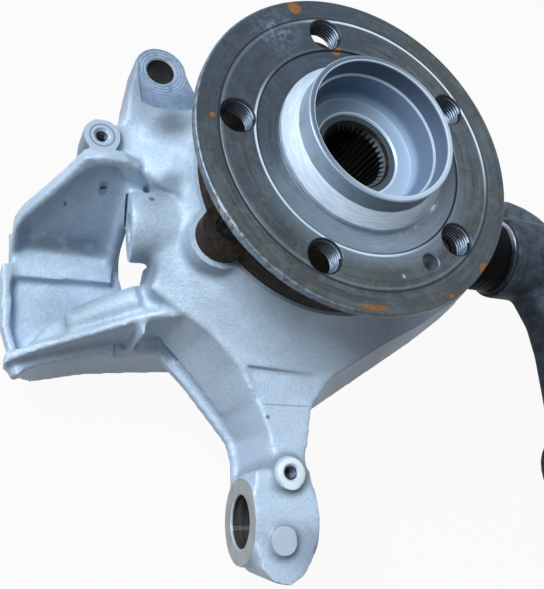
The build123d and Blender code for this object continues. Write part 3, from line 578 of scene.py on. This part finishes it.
# %% Gather the raw casting with its machining stock
EARS = [polar(60.5, 212.9 + 120 * k) for k in range(3)]
EAR_HOLE = (-73.0, 56.5)
HEAD_BOSS = (-99.5, 14.8)
NUT_BOSS = (-17.0, -128.0)
PIN_BOSS = (-21.0, -155.0)
EAR_LEVEL, HEAD_LEVEL, NUT_LEVEL, PIN_LEVEL = -53, -50, -49.5, -50.5  # heights of the machined faces
OVER_FACES = -42
BACK = -90

EYE = (-146, -69)  # Y and Z of the lower eye's cross bore
EYE_LEFT, EYE_RIGHT = -33, -4.5
TUBE = (-11.3, -60)  # Y and Z of the right tube's axis, on which the link swings
TUBE_END = 95

LUG_END = Vector((-84.5, -22.5, -60.5))
LUG_AXIS = Vector((0.98891, 0.05183, 0.13917))
EAR_FILL = [(-83, 36.6), (-84, 48), (-85, 57), (-61, 57), (-52, 37), (-60, 34.2)]


def on_lug(depth):
    """A point on the lug's own axis, this deep behind its machined end."""
    return LUG_END + LUG_AXIS * depth


raw = bmesh.new()
raw.from_mesh(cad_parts["knuckle_casting"].data)
bmesh.ops.remove_doubles(raw, verts=raw.verts, dist=1e-6)
rod(raw, 62.8, (0, 0, -69), (0, 0, -35.0), 96)
for x, y in EARS:
    rod(raw, 14.3, (x, y, -82), (x, y, -35.0))
prism(raw, [(x, y, -62) for x, y in EAR_FILL], -51.6)
rod(raw, 12.3, (*EAR_HOLE, -71), (*EAR_HOLE, -51.6))
rod(raw, 8.2, (*HEAD_BOSS, -66), (*HEAD_BOSS, -49))
rod(raw, 7.3, (*NUT_BOSS, -60), (*NUT_BOSS, -48.4))
rod(raw, 5.8, (*PIN_BOSS, -58), (*PIN_BOSS, -49.6))
rod(raw, 15.4, on_lug(-0.6), on_lug(24))
rod(raw, 18.0, (EYE_LEFT - 1.2, *EYE), (EYE_RIGHT + 1.1, *EYE))
rod(raw, 6.6, (-104, -61.5, -84.5), (-76, -52.6, -68.2), tip=7.4)  # the bulge in the left box's lower room
rod(raw, 17.0, (74, *TUBE), (TUBE_END + 1.0, *TUBE))
print("raw casting vertices:", len(raw.verts))

# %% [markdown]
# The voxel remesh merges everything that overlaps, so stock and ribs need no tidy joints. Its size sets
# the smallest detail that survives, and the number of smoothing rounds sets the fillets' size.

# %% Remesh, relax and machine the casting
PAD = [
    (-33.5, -83.0, -54.9), (-27.5, -83.2, -54.4), (-13.4, -84.4, -53.8), (-2.0, -85.3, -53.5),
    (0.5, -91.4, -54.8), (-1.9, -98.9, -55.8), (-13.7, -98.9, -55.9), (-29.0, -98.4, -56.0),
]
SOFT_PLACES = [  # corners of boxes in millimetres, and the extra smoothing rounds that they get
    ((-36, -134, -66), (4, -116, -40), 22), ((-80, -50, -92), (-68, -28, -46), 14),
    ((-82, -72, -98), (-68, -60, -56), 16), ((-88, -27, -74), (-80, -12, -56), 12),
    ((-92, 18, -66), (-52, 34, -36), 12), ((-110, -76, -90), (-66, -46, -56), 6),
]
SMOOTHING_ROUNDS = 10
MOST_TRIANGLES = 182000
DIMPLE = Vector((-96.2, -4.6, -61.4))
WEB_NORMAL = Vector((0, -0.889, 0.459))

casting = solid_object(raw, "knuckle_casting_skin")
add_skin(casting)
settle(casting)
pad = bmesh.new()
prism(pad, PAD, -44)
cut(casting, pad)
add_skin(casting)
settle(casting)
add_relax(casting, SMOOTHING_ROUNDS)
settle(casting)
melted = bmesh.new()
melted.from_mesh(casting.data)
for low, high, rounds in SOFT_PLACES:
    chosen = [
        point for point in melted.verts if all(low[k] * MM < point.co[k] < high[k] * MM for k in range(3))
    ]
    for _ in range(rounds):
        bmesh.ops.smooth_vert(
            melted, verts=chosen, factor=0.5, use_axis_x=True, use_axis_y=True, use_axis_z=True,
        )
melted.to_mesh(casting.data)
melted.free()
print("casting faces:", len(casting.data.polygons))

# %% [markdown]
# Machining comes last: first the faces, then the bores, then the small breaks on their edges. Each cutter
# starts beyond the stock and stops at the finished face.

# %% Machine the faces, the bores and their edges
EAR_FACE = [
    (-86, 90), (-84.6, 61), (-83.8, 48), (-82.3, 36.9), (-76, 35), (-64, 33.7), (-40, 33.7), (-40, 90),
]
faces = bmesh.new()
rod(faces, 78, (0, 0, -36), (0, 0, -28), 96)
prism(faces, [(x, y, EAR_LEVEL) for x, y in EAR_FACE], -44)
rod(faces, 9.5, (*HEAD_BOSS, HEAD_LEVEL), (*HEAD_BOSS, OVER_FACES))
rod(faces, 9.0, (*NUT_BOSS, NUT_LEVEL), (*NUT_BOSS, OVER_FACES))
rod(faces, 7.5, (*PIN_BOSS, PIN_LEVEL), (*PIN_BOSS, OVER_FACES))
rod(faces, 15.6, on_lug(0), on_lug(-1.1), 64)
rod(faces, 19.5, (EYE_LEFT, *EYE), (-40, *EYE))
rod(faces, 19.5, (EYE_RIGHT, *EYE), (3, *EYE))
rod(faces, 26, (TUBE_END, *TUBE), (110, *TUBE))
for x, y in EARS:
    rod(faces, 12.5, (x, y, -64), (x, y, BACK))
cut(casting, faces)

bores = bmesh.new()
rod(bores, 42.52, (0, 0, -30), (0, 0, BACK), 128)
for x, y in EARS:
    rod(bores, 6.5, (x, y, -30), (x, y, -70))
rod(bores, 6.4, (*EAR_HOLE, -50), (*EAR_HOLE, -76), 64)
rod(bores, 2.5, (*HEAD_BOSS, -48), (*HEAD_BOSS, -66))
rod(bores, 3.0, (*NUT_BOSS, -47), (*NUT_BOSS, -59))
rod(bores, 6.1, on_lug(-5), on_lug(20))
rod(bores, 11.0, (-40, *EYE), (3, *EYE), 96)
rod(bores, 5.95, (100, *TUBE), (73, *TUBE))
rod(bores, 1.4, DIMPLE - WEB_NORMAL * 1.2, DIMPLE + WEB_NORMAL * 4)
cut(casting, bores)

breaks = bmesh.new()
rod(breaks, 6.0, (*EAR_HOLE, -54.2), (*EAR_HOLE, -52.5), 64, tip=8.0)
rod(breaks, 2.3, (*HEAD_BOSS, -51.6), (*HEAD_BOSS, -49.6), tip=4.3)
rod(breaks, 2.8, (*NUT_BOSS, -50.4), (*NUT_BOSS, -49.3), tip=4.0)
rod(breaks, 5.7, on_lug(1.2), on_lug(-0.4), tip=7.3)
rod(breaks, 10.6, (EYE_LEFT + 0.9, *EYE), (EYE_LEFT - 0.3, *EYE), 96, tip=11.8)
rod(breaks, 10.6, (EYE_RIGHT - 0.9, *EYE), (EYE_RIGHT + 0.3, *EYE), 96, tip=11.8)
cut(casting, breaks)

boss_threads = bmesh.new()
thread(boss_threads, *NUT_BOSS, -50.2, 8.0, 2.6, 3.0, pitch=0.8)
thread(boss_threads, *HEAD_BOSS, -51.0, 12.0, 2.2, 2.5, pitch=0.7)
boss_thread_piece = solid_object(boss_threads, "casting_boss_threads")

thin = casting.modifiers.new("thin", "DECIMATE")
thin.ratio = min(1.0, MOST_TRIANGLES / (2 * len(casting.data.polygons)))  # the faces are mostly squares
settle(casting)
print("casting triangles:", len(casting.data.polygons))

# %% [markdown]
# ## Finish of the casting
# Cast aluminium has a satin skin with a fine sandy grain, slow changes of tone and bright machined
# faces with cutter marks. Shade is painted into hollows, onto faces turned to -Y and into chosen places,
# highlights onto rounded edges, and the lower arm is painted paler.

# %% Layer the casting's finish
cast_finish = Finish("cast_aluminium_skin", (0.42, 0.58, 0.77), 0.46, metallic=0.2, specular=0.25)
slow = cast_finish.noise(42 * MM, detail=4, warp=0.4)
mottle = cast_finish.noise(7 * MM, detail=5)
grain = cast_finish.noise(1.0 * MM, detail=3, roughness=0.6)
fleck = cast_finish.noise(2.1 * MM, detail=4, roughness=0.7)
hollow = cast_finish.node("ShaderNodeNewGeometry", output="Pointiness")
facing = cast_finish.split(cast_finish.node("ShaderNodeNewGeometry", output="Normal"))
minus_y_shade = (0 - facing[1]).rise(0.15, 0.95)
skin_tone = cast_finish.mix(slow.rise(0.3, 0.7), (0.375, 0.495, 0.635), (0.465, 0.605, 0.77))
# Painted light: the lower arm, towards -Y, is painted paler.
skin_tone = cast_finish.mix(cast_finish.y.rise(-42 * MM, -84 * MM) * 0.6, skin_tone, (0.58, 0.73, 0.92))
skin_tone = cast_finish.mix(mottle.rise(0.38, 0.72) * 0.55, skin_tone, (0.58, 0.72, 0.87))
skin_tone = cast_finish.mix(fleck.rise(0.48, 0.76) * 0.40, skin_tone, (0.66, 0.79, 0.92))
skin_tone = cast_finish.mix(grain.rise(0.40, 0.75) * 0.42, skin_tone, (0.29, 0.37, 0.46))
# Painted shade on faces that turn towards -Y.
skin_tone = cast_finish.mix(minus_y_shade * 0.30, skin_tone, (0.22, 0.26, 0.30))
# Painted shade in hollows and creases, and painted highlights on rounded edges, both read from pointiness.
skin_tone = cast_finish.mix(hollow.rise(0.49, 0.42) * 0.8, skin_tone, (0.10, 0.125, 0.155))
skin_tone = cast_finish.mix(hollow.rise(0.52, 0.60) * 0.50, skin_tone, (0.76, 0.87, 0.97))
x, y, z = cast_finish.x, cast_finish.y, cast_finish.z
PAINTED_SHADE_PLACES = [  # middle, radius and softness in millimetres, and the share of painted shade there
    ((-69.5, 24.5), 8, 6, 0.80), ((-71, -6), 5, 4, 0.75), ((-75, -43), 6, 5, 0.45),
    ((-77, -18), 8, 7, 0.32), ((-104, -56), 15, 11, 0.30), ((-10, -160), 8, 8, 0.45),
    ((34, -66), 18, 18, 0.45), ((-74, 52), 22, 12, 0.45),
]
# Painted shade in chosen places: the ear's foot, round the lug, the box's lower room, the toe and the body
# under the hub flange.
for middle, across, soft, share in PAINTED_SHADE_PLACES:
    painted_shade = cast_finish.spot(*middle, across, soft) * (0.55 + slow * 0.9)
    skin_tone = cast_finish.mix(painted_shade * share, skin_tone, (0.045, 0.065, 0.095))
# Painted shade: a dark ring round the foot of each boss.
for boss, inner, outer in ((NUT_BOSS, 7.2, 12.0), (PIN_BOSS, 5.7, 10.0), (HEAD_BOSS, 8.0, 11.0)):
    from_boss = cast_finish.from_line(*boss)
    boss_foot_shade = from_boss.rise((inner - 0.4) * MM, inner * MM) * from_boss.rise(outer * MM, inner * MM)
    skin_tone = cast_finish.mix(boss_foot_shade * 0.55, skin_tone, (0.12, 0.155, 0.20))


def flat_at(finish, along, level, across, up, centre, outer):
    """A machined disc: one coordinate at a level, within a radius."""
    disc = finish.round_axis(across, up, centre).rise((outer + 0.2) * MM, outer * MM)
    return along.band((level - 0.12) * MM, (level + 0.12) * MM, 0.05 * MM) * disc


ear_face = flat_at(cast_finish, z, EAR_LEVEL, x, y, EAR_HOLE, 30)
head_face = flat_at(cast_finish, z, HEAD_LEVEL, x, y, HEAD_BOSS, 9)
nut_face = flat_at(cast_finish, z, NUT_LEVEL, x, y, NUT_BOSS, 8)
pin_face = flat_at(cast_finish, z, PIN_LEVEL, x, y, PIN_BOSS, 6)
eye_face = flat_at(cast_finish, x, EYE_LEFT, y, z, EYE, 18.5)
along_lug = x * LUG_AXIS.x + y * LUG_AXIS.y + z * LUG_AXIS.z
lug_face = flat_at(cast_finish, along_lug, LUG_END.dot(LUG_AXIS), y, z, LUG_END.yz, 16.5)
eye_wall = cast_finish.round_axis(y, z, EYE).rise(11.3 * MM, 11.1 * MM)
from_hole = cast_finish.from_line(*EAR_HOLE)
ear_hole_wall_shade = from_hole.rise(6.7 * MM, 6.5 * MM)

arcs = (from_hole + mottle * (0.5 * MM)).wave(1.5 * MM)
arcs = arcs * from_hole.rise(17 * MM, 9 * MM) * fleck.rise(0.30, 0.55)
# The milled ear face is painted dark blue as a painted reflection of darker surroundings; the pale cutter
# arcs are real marks.
milled_with_painted_reflection = cast_finish.mix(mottle.rise(0.35, 0.65), (0.15, 0.22, 0.33), (0.21, 0.30, 0.43))
milled_with_painted_reflection = cast_finish.mix(arcs * 0.65, milled_with_painted_reflection, (0.47, 0.60, 0.76))
# Painted shadows along the pad's upper and lower steps, thicker at its left end.
top_edge_shadow = (y + x * 0.073 + 85.5 * MM).band(-0.5 * MM, 0.6 * MM, 0.35 * MM)
top_edge_shadow = top_edge_shadow * x.band(-33.5 * MM, -3 * MM, 1 * MM)
low_edge_shadow = (y + 98.9 * MM).band(-0.35 * MM, 0.35 * MM, 0.3 * MM) * x.band(-26 * MM, -4 * MM, 1 * MM)
pad_edge_shadows = (top_edge_shadow * x.rise(8 * MM, -30 * MM)).either(low_edge_shadow * 0.6)
tone = cast_finish.mix(pad_edge_shadows * 0.75, skin_tone, (0.10, 0.13, 0.17))
tone = cast_finish.mix(ear_face, tone, milled_with_painted_reflection)
from_head = cast_finish.from_line(*HEAD_BOSS)
head_ring = from_head.band(4.9 * MM, 5.7 * MM, 0.3 * MM)
head_tone = cast_finish.mix(head_ring, (0.42, 0.53, 0.67), (0.20, 0.26, 0.34))
tone = cast_finish.mix(head_face, tone, head_tone)
tone = cast_finish.mix(lug_face, tone, (0.64, 0.78, 0.92))
tone = cast_finish.mix(nut_face, tone, (0.80, 0.90, 0.95))
tone = cast_finish.mix(pin_face, tone, (0.46, 0.56, 0.66))
eye_tone = cast_finish.mix(mottle.rise(0.3, 0.7), (0.27, 0.295, 0.31), (0.37, 0.395, 0.41))
tone = cast_finish.mix(eye_face, tone, eye_tone)
streaks = cast_finish.noise(2.0 * MM, detail=2, stretch=(1.0, 0.06, 0.06)).rise(0.35, 0.75)
# Painted shade: the eye's bore is painted nearly black with brown streaks, and a painted highlight brightens
# its left mouth.
shaded_bore_tone = cast_finish.mix(streaks, (0.020, 0.023, 0.027), (0.095, 0.090, 0.080))
shaded_bore_tone = cast_finish.mix(x.rise(-31.6 * MM, -32.2 * MM), shaded_bore_tone, (0.50, 0.58, 0.64))
tone = cast_finish.mix(eye_wall * (1 - eye_face), tone, shaded_bore_tone)
# Painted shade: the ear hole's wall is painted nearly black.
tone = cast_finish.mix(ear_hole_wall_shade * (1 - ear_face), tone, (0.030, 0.034, 0.038))
print("casting colour layers are wired")

# %% [markdown]
# Inspection leaves small paint dots, the foot of the leaning web is painted darker, and a core pin leaves a
# pit with painted shade round it. Each is a small mask on position that mixes one more colour in.

# %% Add the casting's dots and stains
green = cast_finish.spot(-78.3, -14.5, 1.2, 0.4) * z.rise(-54 * MM, -52 * MM)
green = green.either(cast_finish.spot(-110.6, -9.9, 0.6, 0.3) * z.band(-75 * MM, -68 * MM, 1 * MM))
tone = cast_finish.mix(green * 0.85, tone, (0.02, 0.13, 0.08))
dark_dot = cast_finish.spot(-24.3, -104.3, 0.9, 0.3) * z.rise(-58 * MM, -56 * MM)
tone = cast_finish.mix(dark_dot * 0.8, tone, (0.10, 0.11, 0.13))
# Painted shade in and around the core-pin pit.
pit_shade = cast_finish.from_line(*DIMPLE.xy).rise(2.4 * MM, 1.6 * MM) * z.band(-66 * MM, -58 * MM, 1 * MM)
tone = cast_finish.mix(pit_shade * 0.5, tone, (0.10, 0.12, 0.15))
# The foot of the leaning web is painted darker in mottled patches.
web_foot_darkening = y.band(-22.5 * MM, -17 * MM, 2.5 * MM) * x.band(-127 * MM, -92 * MM, 3 * MM)
web_foot_darkening = web_foot_darkening * z.rise(-72 * MM, -78 * MM)
tone = cast_finish.mix(web_foot_darkening * mottle.rise(0.3, 0.6) * 0.6, tone, (0.12, 0.14, 0.16))
machined = ear_face.either(head_face).either(nut_face).either(eye_face).either(lug_face).either(pin_face)
cast_finish.set("Base Color", tone)
cast_finish.set("Roughness", 0.44 + mottle * 0.12 - machined * 0.10)
cast_finish.set("Metallic", 0.16 + machined * 0.15 - green * 0.15 - nut_face * 0.2)
sand = grain * 0.5 + fleck * 0.5 + mottle * 0.7
cast_finish.bump(sand * (1 - machined) + arcs * ear_face * 0.2, 0.35 * MM)
finish_piece(casting, cast_finish, "knuckle", "cast_aluminium", "knuckle_casting", sharp=38)
finish_piece(boss_thread_piece, thread_finish, "knuckle", "cast_aluminium", sharp=50)

# %% [markdown]
# ## The rubber joint and the link
# The boot is moulded rubber with faint ridges. It is spun like the hub, then turned to lie along X. The
# link is a forging, softened in the same way as the casting.

# %% Spin the boot and its bright ring
JOINT = Matrix.Translation(Vector((0, *TUBE)) * MM) @ ALONG_X
BOOT_LEFT, BOOT_RIGHT = 95.3, 111.6
BOOT_RADIUS = 18.0
BUSH_RIGHT = 151.4
BUSH_RADIUS, BUSH_BORE = 15.5, 9.8
RIDGE_PITCH = 3.2
STATIONS = 30

boot_outer = []
for k in range(STATIONS + 1):
    along = (BOOT_RIGHT - BOOT_LEFT) * k / STATIONS
    ridge = 0.16 * math.cos(2 * math.pi * along / RIDGE_PITCH)
    roll = 0.7 * math.sin(math.pi * k / STATIONS)
    edge = 1.1 if k in (0, STATIONS) else 0.0
    boot_outer.append((BOOT_RADIUS + roll + ridge - edge, BOOT_LEFT + along))
boot_section = boot_outer + [
    (BUSH_RADIUS, BOOT_RIGHT), (BUSH_RADIUS, BUSH_RIGHT), (BUSH_BORE, BUSH_RIGHT), (BUSH_BORE, BOOT_LEFT),
]
boot = solid_object(lathe(boot_section, 128, JOINT), "joint_boot")
rubber_finish = Finish("moulded_rubber", (0.004, 0.005, 0.006), 0.5, specular=0.05)
dust = rubber_finish.noise(6 * MM, detail=5)
rubber_tone = rubber_finish.mix(dust.rise(0.55, 0.85) * 0.5, (0.002, 0.003, 0.004), (0.012, 0.014, 0.018))
rubber_finish.set("Base Color", rubber_tone)
rubber_finish.set("Roughness", 0.42 + dust * 0.25)
rubber_finish.bump(rubber_finish.noise(0.7 * MM, detail=3), 0.05 * MM)
finish_piece(boot, rubber_finish, "link", "joint_rubber", "joint_rubber")

ring_section = [
    (15.52, BOOT_RIGHT), (19.5, BOOT_RIGHT), (20.0, 111.8), (20.0, 112.7), (19.6, 113.0), (18.6, 113.0),
    (15.52, 113.0),
]
end_ring = solid_object(lathe(ring_section, 128, JOINT), "joint_ring_polished")
ring_finish = Finish("bright_ring_steel", (0.60, 0.70, 0.80), 0.22, metallic=0.6, specular=0.4)
worn = ring_finish.noise(4 * MM, detail=4)
ring_finish.set("Roughness", 0.16 + worn * 0.22)
lit = (ring_finish.y * 0.8 + ring_finish.z * 0.6).rise(-38 * MM, -30 * MM)
ring_tone = ring_finish.mix(lit, (0.07, 0.09, 0.11), (0.72, 0.82, 0.92))
ring_finish.set("Base Color", ring_finish.mix(worn.rise(0.50, 0.70) * 0.6, ring_tone, (0.10, 0.12, 0.14)))
finish_piece(end_ring, ring_finish, "link", "bright_steel", "joint_end_ring")

# %% [markdown]
# The link's two eyes get stock as well, are softened with the rest and are then bored to their CAD sizes.

# %% Soften and bore the link
FAR_EYE = (-122, -60)  # Y and Z of the eye at the link's lower end
link_raw = bmesh.new()
link_raw.from_mesh(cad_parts["link_arm"].data)
bmesh.ops.remove_doubles(link_raw, verts=link_raw.verts, dist=1e-6)
rod(link_raw, 20.0, (113.6, *TUBE), (150.4, *TUBE))
rod(link_raw, 14.0, (138.0, *FAR_EYE), (161.0, *FAR_EYE))
link = solid_object(link_raw, "link_arm_forged")
add_skin(link)
add_relax(link, 14)
settle(link)
eyes = bmesh.new()
rod(eyes, 15.52, (105, *TUBE), (165, *TUBE), 96)
rod(eyes, 12.5, (125, *FAR_EYE), (170, *FAR_EYE), 96)
cut(link, eyes)
link_finish = Finish("dark_forged_steel", (0.03, 0.04, 0.05), 0.5, metallic=0.2, specular=0.12)
scale_marks = link_finish.noise(5 * MM, detail=5, roughness=0.6)
pits = link_finish.noise(1.3 * MM, detail=3)
edge = link_finish.node("ShaderNodeNewGeometry", output="Pointiness")
forged = link_finish.mix(scale_marks.rise(0.35, 0.7), (0.020, 0.028, 0.037), (0.044, 0.058, 0.076))
# Painted light: the link's top band and its upper shoulder are painted paler, and its edges get painted
# highlights.
crest = link_finish.z.rise(-54 * MM, -50 * MM) * scale_marks.rise(0.25, 0.6)
forged = link_finish.mix(crest * 0.35, forged, (0.10, 0.14, 0.19))
lit_shoulder = link_finish.y.rise(3 * MM, 8 * MM) * scale_marks.rise(0.20, 0.65)
forged = link_finish.mix(lit_shoulder * 0.7, forged, (0.13, 0.17, 0.22))
forged = link_finish.mix(edge.rise(0.52, 0.57) * scale_marks.rise(0.3, 0.6) * 0.8, forged, (0.22, 0.28, 0.35))
link_finish.set("Base Color", forged)
link_finish.set("Roughness", 0.42 + pits * 0.3)
link_finish.bump(scale_marks * 0.7 + pits * 0.4, 0.35 * MM)
finish_piece(link, link_finish, "link", "dark_forging", "link_arm", sharp=40)

# %% [markdown]
# ## Finishes of the CAD pieces that stay
# The bearing ring, the bolts and the hidden pieces have the right shape already, so they keep their CAD
# mesh and only get a finish. The ring is the rustiest piece: it has no coating and sits where water runs.

# %% Rust the bearing ring and darken its bolts
rust_and_shade_finish = Finish("rusted_ring_and_shade", (0.03, 0.02, 0.015), 0.8, metallic=0.0, specular=0.2)
flakes = rust_and_shade_finish.noise(3.2 * MM, detail=6, roughness=0.65)
blots = rust_and_shade_finish.noise(14 * MM, detail=4, warp=0.5)
# Rust, painted very dark: the ring also stands in for the shade seen through the bolt holes.
tone = rust_and_shade_finish.mix(flakes.rise(0.35, 0.68), (0.010, 0.009, 0.009), (0.050, 0.030, 0.019))
tone = rust_and_shade_finish.mix(blots.rise(0.50, 0.68) * 0.7, tone, (0.024, 0.027, 0.032))
rust_and_shade_finish.set("Base Color", tone)
rust_and_shade_finish.set("Metallic", blots.rise(0.5, 0.8) * 0.2)
rust_and_shade_finish.set("Roughness", 0.86 - blots * 0.3)
rust_and_shade_finish.bump(flakes, 0.5 * MM)

bolt_finish = Finish("dark_bolt_steel", (0.02, 0.025, 0.03), 0.4, metallic=0.3, specular=0.3)
oil = bolt_finish.noise(2.5 * MM, detail=4)
bolt_tone = bolt_finish.mix(oil.rise(0.4, 0.7), (0.012, 0.015, 0.020), (0.050, 0.055, 0.065))
bolt_finish.set("Base Color", bolt_tone)
bolt_finish.set("Roughness", 0.34 + oil * 0.25)

ground_finish = Finish("ground_steel", (0.55, 0.56, 0.58), 0.22, metallic=1.0)
lay = ground_finish.noise(1.5 * MM, detail=3, stretch=(1.0, 1.0, 8.0))
ground_finish.set("Base Color", ground_finish.mix(lay, (0.50, 0.51, 0.53), (0.62, 0.63, 0.65)))
ground_finish.set("Roughness", 0.16 + lay * 0.16)

cage_finish = Finish("moulded_cage", (0.45, 0.40, 0.27), 0.5)
swirl = cage_finish.noise(6 * MM, detail=3)
cage_finish.set("Base Color", cage_finish.mix(swirl, (0.40, 0.35, 0.23), (0.50, 0.45, 0.31)))

seal_finish = Finish("seal_rubber", (0.02, 0.02, 0.02), 0.6)
chalk = seal_finish.noise(3 * MM, detail=4)
seal_tone = seal_finish.mix(chalk.rise(0.5, 0.8), (0.016, 0.016, 0.016), (0.07, 0.065, 0.06))
seal_finish.set("Base Color", seal_tone)

zinc_finish = Finish("zinc_plate", (0.52, 0.52, 0.48), 0.35, metallic=0.9)
spangle = zinc_finish.noise(2 * MM, detail=4)
zinc_finish.set("Base Color", zinc_finish.mix(spangle, (0.44, 0.45, 0.42), (0.60, 0.60, 0.56)))
zinc_finish.set("Roughness", 0.28 + spangle * 0.25)

kept = {
    "bearing_outer_ring": rust_and_shade_finish, "bearing_bolts": bolt_finish, "bearing_inner_ring": ground_finish,
    "outboard_rollers": ground_finish, "inboard_rollers": ground_finish, "outboard_cage": cage_finish,
    "inboard_cage": cage_finish, "outboard_seal": seal_finish, "inboard_seal": seal_finish,
    "encoder_ring": seal_finish, "joint_sleeve": zinc_finish, "joint_washer": zinc_finish,
    "joint_bolt": zinc_finish, "arm_end_bush": rubber_finish, "arm_end_sleeve": zinc_finish,
}
for name, finish in kept.items():
    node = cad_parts[name]
    node.data.materials.clear()
    node.data.materials.append(finish.material)
print("CAD pieces with a finish of their own:", len(kept))

# %% [markdown]
# ## Floor, light and camera
# A white floor catches the shadow. Floor and background are white only for the rays that the camera,
# gloss and glass see. They show in reflections, and the soft light on the object comes from the lamps and
# a dim ambient term alone. The camera is placed by its axes: columns for right, up and back.

# %% Build the studio
FLOOR_DROP = 0.8 * MM
floor_form = bmesh.new()
bmesh.ops.create_grid(floor_form, x_segments=1, y_segments=1, size=4.0)
bmesh.ops.translate(floor_form, vec=(0, 0, cad_box[0][2] - FLOOR_DROP), verts=floor_form.verts)
floor = solid_object(floor_form, "studio_floor")
floor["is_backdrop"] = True
floor_finish = Finish("pale_floor", (0.40, 0.40, 0.40), 0.8, specular=0.0)
direct = floor_finish.node("ShaderNodeLightPath", output="Is Camera Ray")
mirror = floor_finish.node("ShaderNodeLightPath", output="Is Glossy Ray")
through = floor_finish.node("ShaderNodeLightPath", output="Is Transmission Ray")
glow = floor_finish.node("ShaderNodeEmission", None, {"Color": (1, 1, 1, 1), "Strength": 1.0})
picture_ray = direct.either(mirror).either(through)
blend = floor_finish.node("ShaderNodeMixShader", None, {0: picture_ray * 0.94, 2: glow})
floor_finish.tree.links.new(floor_finish.shader.outputs[0], blend.socket.node.inputs[1])
floor_finish.tree.links.new(blend.socket, floor_finish.tree.nodes["Material Output"].inputs["Surface"])
floor.data.materials.append(floor_finish.material)

world = bpy.data.worlds.new("studio_world")
bpy.context.scene.world = world
world.use_nodes = True
sky = world.node_tree
seen = sky.nodes["Background"]
seen.inputs["Color"].default_value = (1, 1, 1, 1)
seen.inputs["Strength"].default_value = 1.0
ambient = sky.nodes.new("ShaderNodeBackground")
ambient.inputs["Color"].default_value = (1.0, 0.97, 0.94, 1)
ambient.inputs["Strength"].default_value = 0.11
path = sky.nodes.new("ShaderNodeLightPath")
choose = sky.nodes.new("ShaderNodeMixShader")
seen_by = path.outputs["Is Camera Ray"]
for ray in ("Is Glossy Ray", "Is Transmission Ray"):
    larger = sky.nodes.new("ShaderNodeMath")
    larger.operation = "MAXIMUM"
    sky.links.new(seen_by, larger.inputs[0])
    sky.links.new(path.outputs[ray], larger.inputs[1])
    seen_by = larger.outputs[0]
sky.links.new(seen_by, choose.inputs[0])
sky.links.new(ambient.outputs[0], choose.inputs[1])
sky.links.new(seen.outputs[0], choose.inputs[2])
sky.links.new(choose.outputs[0], sky.nodes["World Output"].inputs["Surface"])


def softbox(name, place, target, size, power, colour=(1, 1, 1)):
    """A square area lamp that looks at a point."""
    lamp = bpy.data.lights.new(name, "AREA")
    lamp.size = size
    lamp.energy = power
    lamp.color = colour
    made = bpy.data.objects.new(name, lamp)
    made.location = place
    made.rotation_euler = (Vector(target) - Vector(place)).to_track_quat("-Z", "Y").to_euler()
    bpy.context.scene.collection.objects.link(made)


softbox("key_softbox", (-0.87, 0.34, 1.11), (0, -0.03, -0.05), 0.75, 25.0, (0.91, 0.96, 1.0))
softbox("side_softbox", (0.9, 0.6, 0.6), (0, 0, 0), 0.5, 1.2, (0.90, 0.96, 1.0))

CAMERA_PLACE = Vector((-153.26, -166.68, 242.97)) * MM
right = Vector((0.91793, -0.04002, 0.39473))
up = Vector((-0.09994, 0.93949, 0.32767))
back = right.cross(up)
turned = Matrix((right, up, back)).transposed().to_4x4()
lens = bpy.data.cameras.new("picture_camera")
lens.lens = 47.06
lens.sensor_width = 36.0
lens.clip_start = 0.01
camera = bpy.data.objects.new("picture_camera", lens)
camera.matrix_world = Matrix.Translation(CAMERA_PLACE) @ turned
bpy.context.scene.collection.objects.link(camera)
bpy.context.scene.camera = camera
bpy.context.scene.view_settings.view_transform = "Standard"
print("camera looks along", -back)

# %% [markdown]
# ## Check the size and close
# The dressed model's box is compared with the CAD box.

# %% Compare the boxes and finish
shown_box = [list(corner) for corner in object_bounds()]
growth = [max(cad_box[0][k] - shown_box[0][k], shown_box[1][k] - cad_box[1][k]) / MM for k in range(3)]
print("the dressed model stands proud of the CAD box by, in mm:", [round(length, 2) for length in growth])
